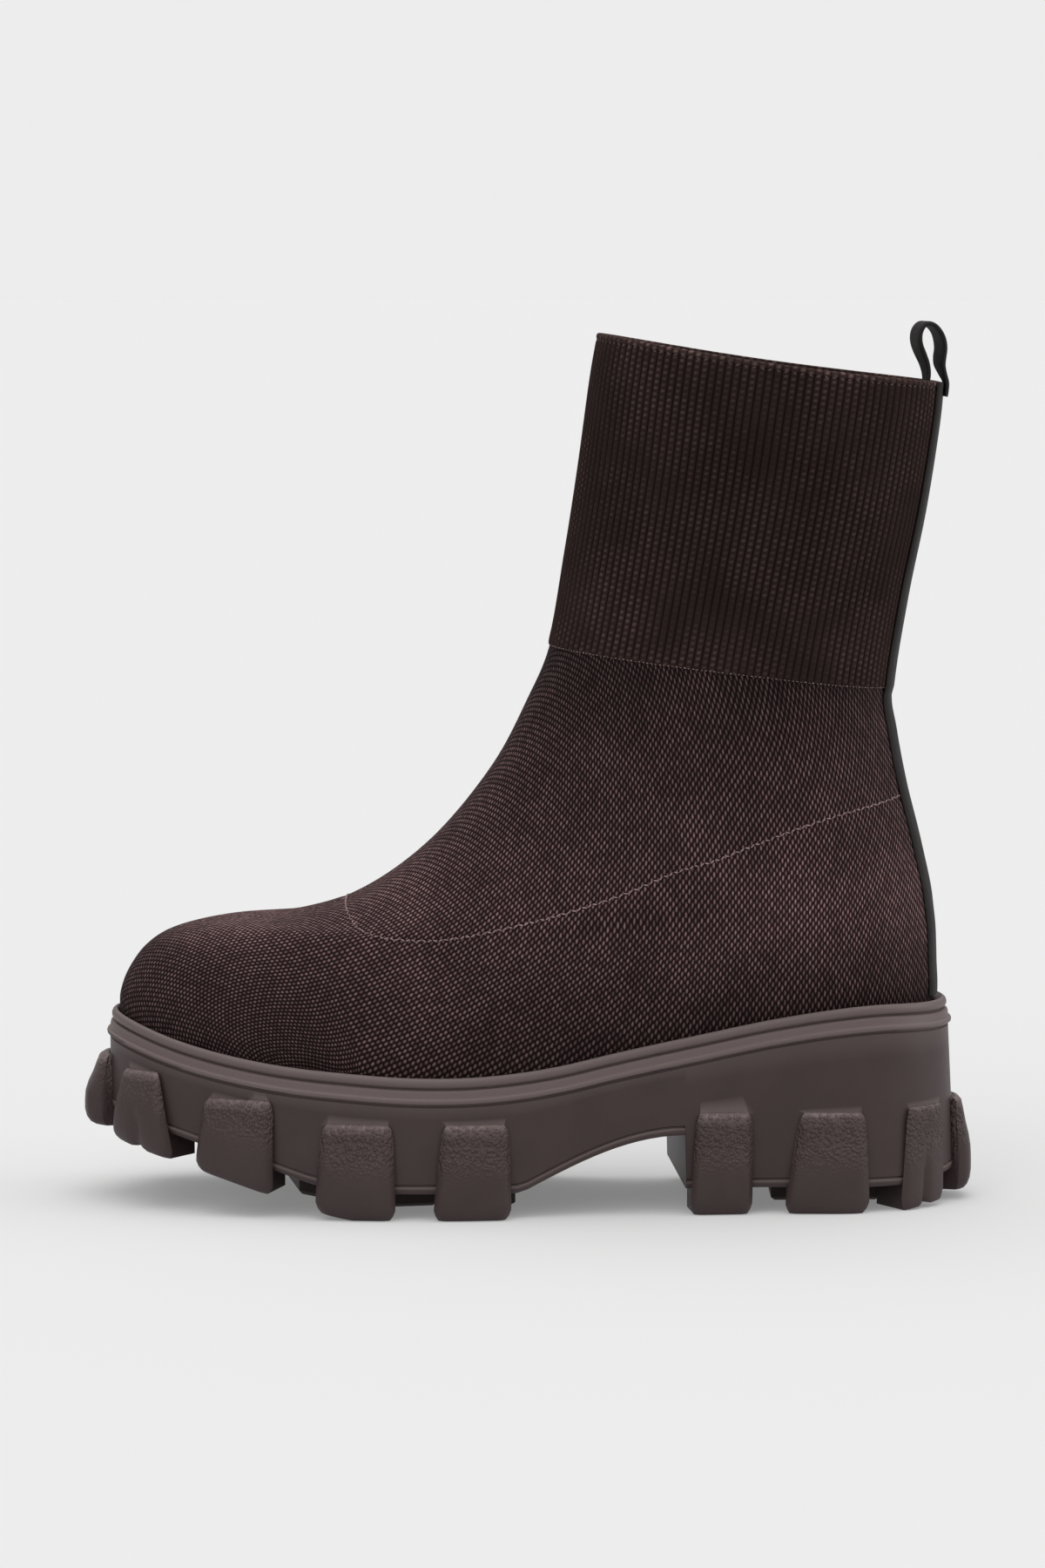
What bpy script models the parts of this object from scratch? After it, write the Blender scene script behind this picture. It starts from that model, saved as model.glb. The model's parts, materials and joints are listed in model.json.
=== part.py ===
"""A left sock boot: a knitted upper with a ribbed cuff on a moulded lug sole.

Metres, +Z up. The toe points to -X, the heel to +X, the outer side of the foot to -Y.
The origin is on the floor, in the middle of the boot's length.
"""
import bisect
import math
from collections import namedtuple

import bmesh
import bpy
from mathutils import Vector

# Last: the form that the knitted upper takes
UPPER_LENGTH = 0.2617
BALL_WIDTH = 0.091
HEEL_WIDTH = 0.066
CUFF_RISE = 0.2164          # front of the collar above the rim at the toe
TOE_DRIFT = 0.006           # the toe leans to the inner side
BALL_SLANT = 0.025          # inner ball further forward than the outer one, share of a ring
WAIST_OUTER = 0.0015
WAIST_INNER = 0.0045
COLLAR_DIP = 0.0014
COLLAR_DIP_ROWS = 2         # the dip fades out over this many rows below the collar
DRIFT_END = 0.38            # the toe's lean starts here, share of the length
DRIFT_BEND = 1.5
HEEL_FULL = 2.1             # roundness of each ring at the back
FRONT_POINT = 0.2           # rings are a little more pointed than an even oval in front

# Upper
WALL = 0.0020
CUFF_STEP = 0.0005          # the ribbed cuff is thicker than the foot
TUCK = 0.0050               # how far the upper reaches down inside the rim

# Sole
RIM_TOE = 0.0607
RIM_HEEL = 0.0651
RIM_DIP = 0.0180            # the rim hangs lower at the ball
LUG_DEPTH = 0.0080
LUG_REACH = 0.0080          # outer face of the side lugs, beyond the upper's foot line
LUG_INWARD = 0.0140
TOE_LUG_REACH = 0.0115
REAR_LUG_REACH = 0.0125
TOE_SPRING = 0.0250
HEEL_BEVEL = 0.0040
SHELF_START = 0.80          # share of the length
HEEL_SHELF = 0.0017         # the rim stands out further behind the heel
HEEL_FLARE = 0.0020         # and the wall still further at its lower edge
ARCH_HEIGHT = 0.0250
BAR_HEIGHT = 0.0160

# Small pieces
INSOLE_THICK = 0.0035
TAPE_WIDTH = 0.0200
TAPE_THICK = 0.0010
LOOP_WIDTH = 0.0140
LOOP_THICK = 0.0014
LOOP_RISE = 0.0194          # top of the loop above the back of the collar
LOOP_TWIST = math.radians(7)
GAP = 0.0003
BED_CLEAR = 0.0003          # further gap under the insole, for the bed's facets
SIDE_CLEAR = 0.0005         # gap round the insole

TOE_X = -0.13135
OUTER, INNER = -1, 1
RING_STATIONS = 18
SOLE_FRONT_STATIONS = 19
SOLE_BACK_STATIONS = 11
TOE_CROWDING = 1.35         # sole stations stand closer together at the toe
INSOLE_STATIONS = 16
FOOT_LINE_STEPS = 300

# Rings of the upper from the foot line to the collar. front and back are shares of UPPER_LENGTH,
# front_up and back_up of CUFF_RISE, outer and inner of BALL_WIDTH, heel of HEEL_WIDTH.
# ball_at and heel_at are shares of the ring's own length, follow says how far it follows the rim.
Ring = namedtuple("Ring", "front front_up back back_up follow outer inner heel ball_at heel_at full")
RINGS = [
    Ring(0.0000, 0.0000, 1.0000, 0.0000, 1.00, 0.500, 0.500, 0.470, 0.355, 0.860, 2.35),
    Ring(0.0012, 0.0245, 1.0002, 0.0226, 0.95, 0.506, 0.506, 0.488, 0.355, 0.860, 2.35),
    Ring(0.0110, 0.0565, 0.9990, 0.0504, 0.80, 0.495, 0.497, 0.500, 0.360, 0.855, 2.35),
    Ring(0.0325, 0.0920, 0.9983, 0.0781, 0.62, 0.475, 0.478, 0.503, 0.365, 0.850, 2.40),
    Ring(0.0660, 0.1170, 0.9973, 0.1058, 0.48, 0.448, 0.452, 0.500, 0.375, 0.845, 2.50),
    Ring(0.1260, 0.1335, 0.9948, 0.1335, 0.36, 0.432, 0.434, 0.494, 0.400, 0.830, 2.75),
    Ring(0.2110, 0.1415, 0.9912, 0.1659, 0.27, 0.427, 0.427, 0.485, 0.430, 0.820, 2.85),
    Ring(0.2980, 0.1760, 0.9836, 0.2075, 0.18, 0.418, 0.418, 0.473, 0.430, 0.800, 2.80),
    Ring(0.3838, 0.2525, 0.9755, 0.2491, 0.08, 0.406, 0.404, 0.462, 0.430, 0.780, 2.60),
    Ring(0.4573, 0.3600, 0.9610, 0.3184, 0.00, 0.393, 0.393, 0.462, 0.430, 0.740, 2.50),
    Ring(0.5013, 0.4598, 0.9485, 0.3970, 0.00, 0.384, 0.384, 0.477, 0.430, 0.680, 2.35),
    Ring(0.5297, 0.5439, 0.9423, 0.4616, 0.00, 0.386, 0.386, 0.505, 0.430, 0.640, 2.25),
    Ring(0.5492, 0.6760, 0.9591, 0.5957, 0.00, 0.400, 0.400, 0.550, 0.440, 0.580, 2.15),
    Ring(0.5652, 0.8008, 0.9797, 0.7204, 0.00, 0.421, 0.421, 0.582, 0.440, 0.560, 2.10),
    Ring(0.5797, 0.9302, 0.9952, 0.8429, 0.00, 0.438, 0.438, 0.605, 0.440, 0.560, 2.10),
    Ring(0.5896, 1.0000, 1.0006, 0.9090, 0.00, 0.444, 0.444, 0.6136, 0.440, 0.560, 2.10),
]
CUFF_ROW = 11
COLLAR_ROW = 15
CUFF_EDGE = 0.08            # the step's height, in rows
MESH_ROWS = [0, 1, 1.5, 2, 2.5, 3, 3.5, 4, 4.5, 5, 5.5, 6, 6.5, 7, 7.5, 8, 8.5, 9, 9.5, 10, 10.5,
             CUFF_ROW, CUFF_ROW + CUFF_EDGE, 11.6, 12.3, 13, 14, COLLAR_ROW]

# How far the rim hangs below a straight line from toe to heel: share of length, share of RIM_DIP
Sag = namedtuple("Sag", "along drop")
RIM_SAG = [
    Sag(-0.05, -0.24), Sag(0.0, 0.0), Sag(0.078, 0.38), Sag(0.184, 0.72), Sag(0.290, 0.90),
    Sag(0.362, 0.98), Sag(0.457, 0.98), Sag(0.540, 0.85), Sag(0.600, 0.68), Sag(0.710, 0.39),
    Sag(0.810, 0.13), Sag(0.920, -0.05), Sag(1.0, 0.0), Sag(1.05, 0.0),
]

# How far the tread lifts off the floor at the toe: share of length, share of TOE_SPRING
Lift = namedtuple("Lift", "along rise")
TREAD_LIFT = [
    Lift(-0.050, 1.04), Lift(-0.038, 1.00), Lift(0.019, 0.80), Lift(0.103, 0.57), Lift(0.194, 0.28),
    Lift(0.248, 0.10), Lift(0.293, 0.0), Lift(0.400, 0.0), Lift(0.500, 0.0),
]
HEEL_BEVEL_START = 0.950
HEEL_BEVEL_END = 1.038

# Section of the rim, from the bed outwards: beyond the foot line, and from the rim's height
Step = namedtuple("Step", "out up")
RIM_STEPS = [
    Step(GAP, -TUCK - GAP), Step(GAP, -0.0008), Step(0.0010, 0.0), Step(0.0018, -0.0005),
    Step(0.0021, -0.0013), Step(0.0015, -0.0027), Step(0.0037, -0.0032), Step(0.0038, -0.0046),
    Step(0.0030, -0.0060),
]
# Lower edge of the wall, from the wall's own bottom
WALL_STEPS = [Step(0.0031, 0.0020), Step(0.0020, 0.0)]

# Stations are shares of one side's own line, from the toe tip to the middle of the heel
ARCH_START = 0.5023
BREAST_OUTER = 0.676
BREAST_INNER = 0.660
BREAST_STEP = 0.0015

# Side lugs: where the upper and the lower edge start and end, their height, reach and inner end
Lug = namedtuple("Lug", "top_start top_end low_start low_end height reach inward")
SIDE_LUGS = [
    Lug(0.067, 0.118, 0.055, 0.139, 0.0255, LUG_REACH, 0.65),
    Lug(0.172, 0.247, 0.163, 0.248, 0.0266, LUG_REACH, 1.0),
    Lug(0.298, 0.371, 0.291, 0.3745, 0.0300, LUG_REACH, 1.0),
    Lug(0.421, 0.489, 0.411, 0.4915, 0.0300, LUG_REACH, 1.0),
    Lug(0.688, 0.7475, 0.680, 0.747, 0.0320, LUG_REACH, 0.8),
    Lug(0.798, 0.8624, 0.780, 0.866, 0.0320, LUG_REACH, 0.8),
    Lug(0.904, 0.949, 0.896, 0.950, 0.0320, LUG_REACH, 0.6),
]
TOE_LUG = Lug(-0.030, 0.030, -0.036, 0.036, 0.0245, TOE_LUG_REACH, 0.65)
REAR_LUG = Lug(0.978, 1.022, 0.972, 1.028, 0.0305, REAR_LUG_REACH, 0.6)

# Section of a lug: share of the way down, share of its reach beyond the wall
Slope = namedtuple("Slope", "down reach")
LUG_SECTION = [
    Slope(0.0, 0.08), Slope(0.22, 0.55), Slope(0.55, 1.0), Slope(0.82, 1.0), Slope(0.94, 0.86),
    Slope(1.0, 0.60),
]
LUG_COLUMNS = 4
LUG_ROOT = 0.004            # how far a lug reaches into the wall and the sole

# Bars in the middle of the tread: middle along the length as a share, sideways, and size
Bar = namedtuple("Bar", "along across length width turn")
TREAD_BARS = [
    Bar(0.150, -0.0110, 0.016, 0.017, 12), Bar(0.150, 0.0130, 0.016, 0.017, -12),
    Bar(0.250, -0.0135, 0.018, 0.020, 12), Bar(0.250, 0.0135, 0.018, 0.020, -12),
    Bar(0.350, -0.0135, 0.018, 0.020, 12), Bar(0.350, 0.0135, 0.018, 0.020, -12),
    Bar(0.450, -0.0130, 0.016, 0.018, 12), Bar(0.450, 0.0130, 0.016, 0.018, -12),
    Bar(0.735, 0.0, 0.013, 0.022, 0), Bar(0.825, 0.0, 0.013, 0.022, 0), Bar(0.910, 0.0, 0.012, 0.020, 0),
]

# Path of the loop from the tape's top over to the inside: back of the collar, share of LOOP_RISE up
Bend = namedtuple("Bend", "back up")
LOOP_PATH = [
    Bend(0.0017, 0.03), Bend(0.0021, 0.20), Bend(0.0022, 0.42), Bend(0.0012, 0.72),
    Bend(-0.0018, 0.94), Bend(-0.0052, 1.00), Bend(-0.0083, 0.90), Bend(-0.0092, 0.68),
    Bend(-0.0083, 0.42), Bend(-0.0073, 0.14), Bend(-0.0066, -0.14), Bend(-0.0061, -0.40),
    Bend(-0.0060, -0.66), Bend(-0.0063, -0.90),
]
LOOP_STEPS = 22

# The tape's sections: rows of the upper, and shares of its own width
TAPE_ROWS = [0.35, 1, 2, 3, 4, 5.5, 7, 8, 9, 10, 11, 12, 13, 14, COLLAR_ROW - 0.01]
TAPE_PLACES = [-0.5, -0.3, 0.0, 0.3, 0.5]


def hermite(before, start, end, after, spans, t):
    """Smooth value between start and end, spans being the three distances along the row."""
    left, mid, right = spans
    slope_a = ((start - before) / left * mid + (end - start) / mid * left) / (left + mid)
    slope_b = ((end - start) / mid * right + (after - end) / right * mid) / (mid + right)
    t2 = t * t
    t3 = t2 * t
    value = start * (2 * t3 - 3 * t2 + 1) + end * (3 * t2 - 2 * t3)
    return value + mid * (slope_a * (t3 - 2 * t2 + t) + slope_b * (t3 - t2))


def smooth_row(places, values, x):
    """Value at x on a smooth line through a short table."""
    last = len(places) - 1
    x = min(max(x, places[0]), places[last])
    i = min(max(bisect.bisect_right(places, x) - 1, 0), last - 1)
    span = places[i + 1] - places[i]
    left = places[i] - places[i - 1] if i > 0 else span
    right = places[i + 2] - places[i + 1] if i + 2 <= last else span
    before = values[i - 1] if i > 0 else 2 * values[i] - values[i + 1]
    after = values[i + 2] if i + 2 <= last else 2 * values[i + 1] - values[i]
    t = (x - places[i]) / span
    return hermite(before, values[i], values[i + 1], after, (left, span, right), t)


def share_of_length(x):
    return (x - TOE_X) / UPPER_LENGTH


def rim_sag(along):
    return RIM_DIP * smooth_row([s.along for s in RIM_SAG], [s.drop for s in RIM_SAG], along)


def rim_height(x):
    """Height of the top of the rim."""
    along = share_of_length(x)
    return RIM_TOE + (RIM_HEEL - RIM_TOE) * along - rim_sag(along)


def tread_height(x):
    """Height of the bottom of the lugs: toe spring in front, a bevel behind the heel."""
    along = share_of_length(x)
    if along < 0.5:
        rise = smooth_row([s.along for s in TREAD_LIFT], [s.rise for s in TREAD_LIFT], along)
        return TOE_SPRING * max(rise, 0.0)
    bevel = (along - HEEL_BEVEL_START) / (HEEL_BEVEL_END - HEEL_BEVEL_START)
    return HEEL_BEVEL * min(max(bevel, 0.0), 1.0)


def toe_drift(x):
    along = share_of_length(x)
    lean = min(max((DRIFT_END - along) / DRIFT_END, 0.0), 1.0)
    return TOE_DRIFT * lean ** DRIFT_BEND


def ring_at(row):
    """The ring's values at any place between the rows of the table."""
    places = list(range(len(RINGS)))
    return Ring(*[smooth_row(places, [r[i] for r in RINGS], row) for i in range(len(Ring._fields))])


def half_width(ring, a, side):
    """Distance from the middle line at the share a of the ring, from its front to its back."""
    ball = BALL_WIDTH * (ring.outer if side == OUTER else ring.inner)
    heel = HEEL_WIDTH * ring.heel
    ball_at = ring.ball_at - side * BALL_SLANT
    waist = (WAIST_OUTER if side == OUTER else WAIST_INNER) * ring.follow
    if a < ball_at:
        return ball * max(1 - (1 - a / ball_at) ** (ring.full - FRONT_POINT), 0.0) ** (1 / ring.full)
    if a <= ring.heel_at:
        t = (a - ball_at) / (ring.heel_at - ball_at)
        return ball + (heel - ball) * t * t * (3 - 2 * t) - waist * math.sin(math.pi * t) ** 2
    t = (a - ring.heel_at) / (1 - ring.heel_at)
    return heel * max(1 - t * t, 0.0) ** (1 / HEEL_FULL)


def upper_point(row, a, side):
    """Point on the outside of the last: row of the table, share along the ring, side."""
    ring = ring_at(row)
    front = TOE_X + UPPER_LENGTH * ring.front
    back = TOE_X + UPPER_LENGTH * ring.back
    x = front + (back - front) * a
    z = (RIM_TOE + CUFF_RISE * ring.front_up) * (1 - a) + (RIM_HEEL + CUFF_RISE * ring.back_up) * a
    ends = rim_sag(ring.front) * (1 - a) + rim_sag(ring.back) * a
    z -= ring.follow * (rim_sag(share_of_length(x)) - ends)
    near_collar = max(row - COLLAR_ROW + COLLAR_DIP_ROWS, 0.0) / COLLAR_DIP_ROWS
    z -= COLLAR_DIP * math.sin(math.pi * a) * min(near_collar, 1.0)
    return Vector((x, side * half_width(ring, a, side) + toe_drift(x), z))


def ring_points(row, stations):
    """Closed ring: the outer side from front to back, then the inner side to the front again."""
    shares = [(1 - math.cos(math.pi * i / stations)) / 2 for i in range(stations + 1)]
    outer = [upper_point(row, a, OUTER) for a in shares]
    inner = [upper_point(row, a, INNER) for a in shares[1:-1]]
    return outer + inner[::-1]


def foot_line():
    """The upper's lowest ring in plan as a fine loop, with outward normals and shares per side."""
    points = [p.xy for p in ring_points(0, FOOT_LINE_STEPS)]
    count = len(points)
    normals = []
    for i in range(count):
        run = points[(i + 1) % count] - points[i - 1]
        normals.append(Vector((run.y, -run.x)).normalized())
    steps = [(points[(i + 1) % count] - points[i]).length for i in range(count)]
    outer = [0.0]
    for step in steps[:FOOT_LINE_STEPS]:
        outer.append(outer[-1] + step)
    inner = [0.0]
    for step in steps[:FOOT_LINE_STEPS - 1:-1]:
        inner.append(inner[-1] + step)
    shares = {OUTER: [s / outer[-1] for s in outer], INNER: [s / inner[-1] for s in inner]}
    return points, normals, shares


FOOT_POINTS, FOOT_NORMALS, FOOT_SHARES = foot_line()


def outline(place, out):
    """Point beside the foot line. place is 0 at the toe tip, -1 or 1 at the heel, less than 0 outside."""
    place = (place + 1) % 2 - 1
    side = OUTER if place < 0 else INNER
    shares = FOOT_SHARES[side]
    share = min(abs(place), 1.0)
    i = min(max(bisect.bisect_right(shares, share) - 1, 0), FOOT_LINE_STEPS - 1)
    t = (share - shares[i]) / (shares[i + 1] - shares[i])
    count = len(FOOT_POINTS)
    near = (-side * i) % count
    far = (-side * (i + 1)) % count
    point = FOOT_POINTS[near].lerp(FOOT_POINTS[far], t)
    normal = FOOT_NORMALS[near].lerp(FOOT_NORMALS[far], t).normalized()
    return point + normal * out


def make_material(name, color, roughness):
    material = bpy.data.materials.new(name)
    material.use_nodes = True
    shader = material.node_tree.nodes["Principled BSDF"]
    shader.inputs["Base Color"].default_value = (*color, 1.0)
    shader.inputs["Roughness"].default_value = roughness
    shader.inputs["Metallic"].default_value = 0.0
    return material


def make_object(name, mesh_data, collection, material=None):
    """Object from a bmesh, which is freed."""
    mesh = bpy.data.meshes.new(name)
    mesh_data.to_mesh(mesh)
    mesh_data.free()
    obj = bpy.data.objects.new(name, mesh)
    collection.objects.link(obj)
    if material:
        mesh.materials.append(material)
        mesh.shade_smooth()
        mesh.set_sharp_from_angle(angle=math.radians(35))
    return obj


def skin(rings, closed):
    """Quads between neighbouring rings of points."""
    mesh = bmesh.new()
    grid = [[mesh.verts.new(p) for p in ring] for ring in rings]
    count = len(rings[0])
    for low, high in zip(grid, grid[1:]):
        for i in range(count if closed else count - 1):
            j = (i + 1) % count
            mesh.faces.new((low[i], low[j], high[j], high[i]))
    return mesh, grid


def close_across(mesh, ring, stations):
    """Strips from the outer to the inner side that close a ring at one end."""
    count = len(ring)
    for i in range(stations):
        outer_a, outer_b = ring[i], ring[i + 1]
        inner_a, inner_b = ring[(-i) % count], ring[(-i - 1) % count]
        corners = [outer_a, outer_b, inner_b, inner_a]
        mesh.faces.new([v for k, v in enumerate(corners) if v not in corners[:k]])


def add_solidify(obj, thickness, offset):
    solidify = obj.modifiers.new("Wall", "SOLIDIFY")
    solidify.thickness = thickness
    solidify.offset = offset
    solidify.use_even_offset = True
    return solidify


def build_upper(collection, material):
    """The knitted sock: one wall from inside the rim to the collar, with the cuff as a step."""
    tucked = [p - Vector((0, 0, TUCK)) for p in ring_points(0, RING_STATIONS)]
    rings = [tucked] + [ring_points(row, RING_STATIONS) for row in MESH_ROWS]
    mesh, grid = skin(rings, True)
    mesh.normal_update()
    first_cuff = MESH_ROWS.index(CUFF_ROW) + 2
    for ring in grid[first_cuff:]:
        for vert in ring:
            flat = Vector((vert.normal.x, vert.normal.y, 0)).normalized()
            vert.co += flat * CUFF_STEP
    upper = make_object("upper", mesh, collection, material)
    add_solidify(upper, WALL, -1)
    return upper


def sole_stations():
    """Shares of each side's line, with a pair close together at the heel breast."""
    front = [(i / SOLE_FRONT_STATIONS) ** TOE_CROWDING for i in range(SOLE_FRONT_STATIONS + 1)]
    back = [math.sin(math.pi / 2 * i / SOLE_BACK_STATIONS) for i in range(SOLE_BACK_STATIONS + 1)]
    stations = [(BREAST_OUTER * t, BREAST_INNER * t, True) for t in front]
    outer = BREAST_OUTER + BREAST_STEP
    inner = BREAST_INNER + BREAST_STEP
    stations += [(outer + (1 - outer) * t, inner + (1 - inner) * t, False) for t in back]
    return stations


def wall_bottom(x, share, breast, in_front):
    """Height of the lower edge of the wall: under the forefoot, along the arch, round the heel."""
    if not in_front or share < ARCH_START:
        return LUG_DEPTH + tread_height(x)
    along = (share - ARCH_START) / (breast - ARCH_START)
    return LUG_DEPTH + (ARCH_HEIGHT - LUG_DEPTH) * math.sin(math.pi / 2 * along)


def heel_share(x):
    """0 in front of the heel, rising smoothly to 1 behind it."""
    t = min(max((share_of_length(x) - SHELF_START) / (1 - SHELF_START), 0.0), 1.0)
    return t * t * (3 - 2 * t)


def wall_out(x):
    """How far the lower edge of the wall stands beyond the foot line."""
    return WALL_STEPS[0].out + (HEEL_SHELF + HEEL_FLARE) * heel_share(x)


def sole_ring(stations, step, from_rim):
    """One closed ring round the sole at one step of its section."""
    points = {OUTER: [], INNER: []}
    for outer_share, inner_share, in_front in stations:
        sides = ((OUTER, outer_share, BREAST_OUTER), (INNER, inner_share, BREAST_INNER))
        for side, share, breast in sides:
            x = outline(side * share, 0.0).x
            if from_rim:
                shelf = HEEL_SHELF * heel_share(x) if step.out > GAP else 0.0
                place = outline(side * share, step.out + shelf)
                height = rim_height(x) + step.up
            else:
                place = outline(side * share, step.out + (HEEL_SHELF + HEEL_FLARE) * heel_share(x))
                height = wall_bottom(x, share, breast, in_front) + step.up
            points[side].append(Vector((place.x, place.y, height)))
    return points[OUTER] + points[INNER][-2:0:-1]


def lug_column(lug, side, t, top_z):
    """Section of a lug at the share t along it, from its upper edge round to the inside."""
    top = lug.top_start + (lug.top_end - lug.top_start) * t
    low = lug.low_start + (lug.low_end - lug.low_start) * t
    foot = tread_height(outline(side * low, lug.reach / 2).x)
    points = []
    for slope in LUG_SECTION:
        place = side * (top + (low - top) * slope.down)
        wall = wall_out(outline(place, 0.0).x)
        spot = outline(place, wall + (lug.reach - wall) * slope.reach)
        points.append(Vector((spot.x, spot.y, top_z + (foot - top_z) * slope.down)))
    under = outline(side * low, -LUG_INWARD * lug.inward)
    points.append(Vector((under.x, under.y, foot)))
    points.append(Vector((under.x, under.y, foot + LUG_DEPTH + LUG_ROOT)))
    inside = outline(side * top, 0.0)
    points.append(Vector((inside.x, inside.y, top_z - LUG_ROOT)))
    return points


def add_lug(cutters, name, lug, side):
    """One lug as a closed block that stands out from the wall and reaches in under the sole."""
    middle = outline(side * (lug.low_start + lug.low_end) / 2, 0.0)
    top_z = tread_height(middle.x) + lug.height
    shares = [k / (LUG_COLUMNS - 1) for k in range(LUG_COLUMNS)]
    mesh, grid = skin([lug_column(lug, side, t, top_z) for t in shares], True)
    mesh.faces.new(grid[0])
    mesh.faces.new(grid[-1])
    bmesh.ops.recalc_face_normals(mesh, faces=mesh.faces)
    hide_cutter(make_object(name, mesh, cutters))


def hide_cutter(block):
    block.hide_render = True
    block.display_type = "WIRE"


def add_bar(cutters, name, bar):
    """One bar in the middle of the tread, its lower face on the tread's own line."""
    mesh = bmesh.new()
    bmesh.ops.create_cube(mesh, size=1.0)
    middle = TOE_X + UPPER_LENGTH * bar.along
    turn = math.radians(bar.turn)
    for vert in mesh.verts:
        along, across = vert.co.x * bar.length, vert.co.y * bar.width
        x = middle + along * math.cos(turn) - across * math.sin(turn)
        y = bar.across + toe_drift(middle) + along * math.sin(turn) + across * math.cos(turn)
        z = tread_height(x) + (BAR_HEIGHT if vert.co.z > 0 else 0.0)
        vert.co = Vector((x, y, z))
    hide_cutter(make_object(name, mesh, cutters))


def build_sole(collection, cutters, material):
    """Rim, wall, arch and heel as one loft, with lugs and bars joined on."""
    stations = sole_stations()
    rings = [sole_ring(stations, step, True) for step in RIM_STEPS]
    rings += [sole_ring(stations, step, False) for step in WALL_STEPS]
    mesh, grid = skin(rings, True)
    close_across(mesh, grid[0], len(stations) - 1)
    close_across(mesh, grid[-1], len(stations) - 1)
    bmesh.ops.recalc_face_normals(mesh, faces=mesh.faces)
    sole = make_object("sole", mesh, collection, material)
    for i, lug in enumerate(SIDE_LUGS):
        add_lug(cutters, f"lug_outer_{i}", lug, OUTER)
        add_lug(cutters, f"lug_inner_{i}", lug, INNER)
    add_lug(cutters, "lug_toe", TOE_LUG, OUTER)
    add_lug(cutters, "lug_rear", REAR_LUG, OUTER)
    for i, bar in enumerate(TREAD_BARS):
        add_bar(cutters, f"bar_{i}", bar)
    union = sole.modifiers.new("Lugs", "BOOLEAN")
    union.operation = "UNION"
    union.operand_type = "COLLECTION"
    union.collection = cutters
    union.solver = "EXACT"
    return sole


def build_insole(collection, material):
    """Flat bed on the sole, inside the upper."""
    shares = [math.sin(math.pi / 2 * i / INSOLE_STATIONS) ** 2 for i in range(INSOLE_STATIONS + 1)]
    rings = []
    for up in (-TUCK + BED_CLEAR, -TUCK + BED_CLEAR + INSOLE_THICK):
        outer = [outline(OUTER * s, -WALL - SIDE_CLEAR) for s in shares]
        inner = [outline(INNER * s, -WALL - SIDE_CLEAR) for s in shares[1:-1]]
        line = outer + inner[::-1]
        rings.append([Vector((p.x, p.y, rim_height(p.x) + up)) for p in line])
    mesh, grid = skin(rings, True)
    close_across(mesh, grid[0], len(shares) - 1)
    close_across(mesh, grid[-1], len(shares) - 1)
    bmesh.ops.recalc_face_normals(mesh, faces=mesh.faces)
    return make_object("insole", mesh, collection, material)


def back_point(row, across):
    """Point on the back of the upper at a distance across from its middle line."""
    ring = ring_at(row)
    heel = HEEL_WIDTH * ring.heel
    reach = max(1 - (abs(across) / heel) ** HEEL_FULL, 0.0) ** 0.5
    a = ring.heel_at + (1 - ring.heel_at) * reach
    side = OUTER if across < 0 else INNER
    return upper_point(row, a, side)


def build_back_tape(collection, material):
    """Tape up the back of the upper, from the rim to the collar."""
    rings = [[back_point(row, t * TAPE_WIDTH) for t in TAPE_PLACES] for row in TAPE_ROWS]
    mesh, grid = skin(rings, False)
    mesh.normal_update()
    clear = {}
    for row, ring in zip(TAPE_ROWS, grid):
        lift = GAP + (CUFF_STEP if row > CUFF_ROW - 1 else 0.0)
        for vert in ring:
            clear[vert] = vert.co + vert.normal * lift
    for vert, place in clear.items():
        vert.co = place
    tape = make_object("back_tape", mesh, collection, material)
    add_solidify(tape, TAPE_THICK, 1)
    return tape


def build_pull_loop(collection, material):
    """Short loop of tape that stands above the back of the collar."""
    collar = back_point(COLLAR_ROW, 0.0)
    places = list(range(len(LOOP_PATH)))
    rings = []
    for i in range(LOOP_STEPS + 1):
        t = i / LOOP_STEPS * places[-1]
        back = smooth_row(places, [b.back for b in LOOP_PATH], t)
        up = smooth_row(places, [b.up for b in LOOP_PATH], t) * LOOP_RISE
        turn = LOOP_TWIST * math.sin(math.pi * i / LOOP_STEPS) ** 2
        ring = []
        for across in (-0.5, 0.0, 0.5):
            width = across * LOOP_WIDTH
            ring.append(collar + Vector((back + width * math.sin(turn), width * math.cos(turn), up)))
        rings.append(ring)
    mesh, grid = skin(rings, False)
    loop = make_object("pull_loop", mesh, collection, material)
    add_solidify(loop, LOOP_THICK, 0)
    return loop


def main():
    for obj in list(bpy.data.objects):
        bpy.data.objects.remove(obj, do_unlink=True)
    boot = bpy.data.collections.new("sock_boot")
    bpy.context.scene.collection.children.link(boot)
    cutters = bpy.data.collections.new("cutters")
    bpy.context.scene.collection.children.link(cutters)
    knit = make_material("knit", (0.030, 0.019, 0.017), 0.92)
    rubber = make_material("sole_rubber", (0.062, 0.045, 0.042), 0.70)
    lining = make_material("insole_fabric", (0.05, 0.045, 0.042), 0.90)
    webbing = make_material("webbing", (0.045, 0.044, 0.043), 0.60)
    build_sole(boot, cutters, rubber)
    build_upper(boot, knit)
    build_insole(boot, lining)
    build_back_tape(boot, webbing)
    build_pull_loop(boot, webbing)


main()
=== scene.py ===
"""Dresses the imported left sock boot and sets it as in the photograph.

Metres, +Z up. The toe points to -X, the heel to +X, the outer side of the foot to -Y.
The forms come from the same named sizes and tables as the part's own source.
"""
import bisect
import json
import math
from collections import namedtuple

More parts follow.
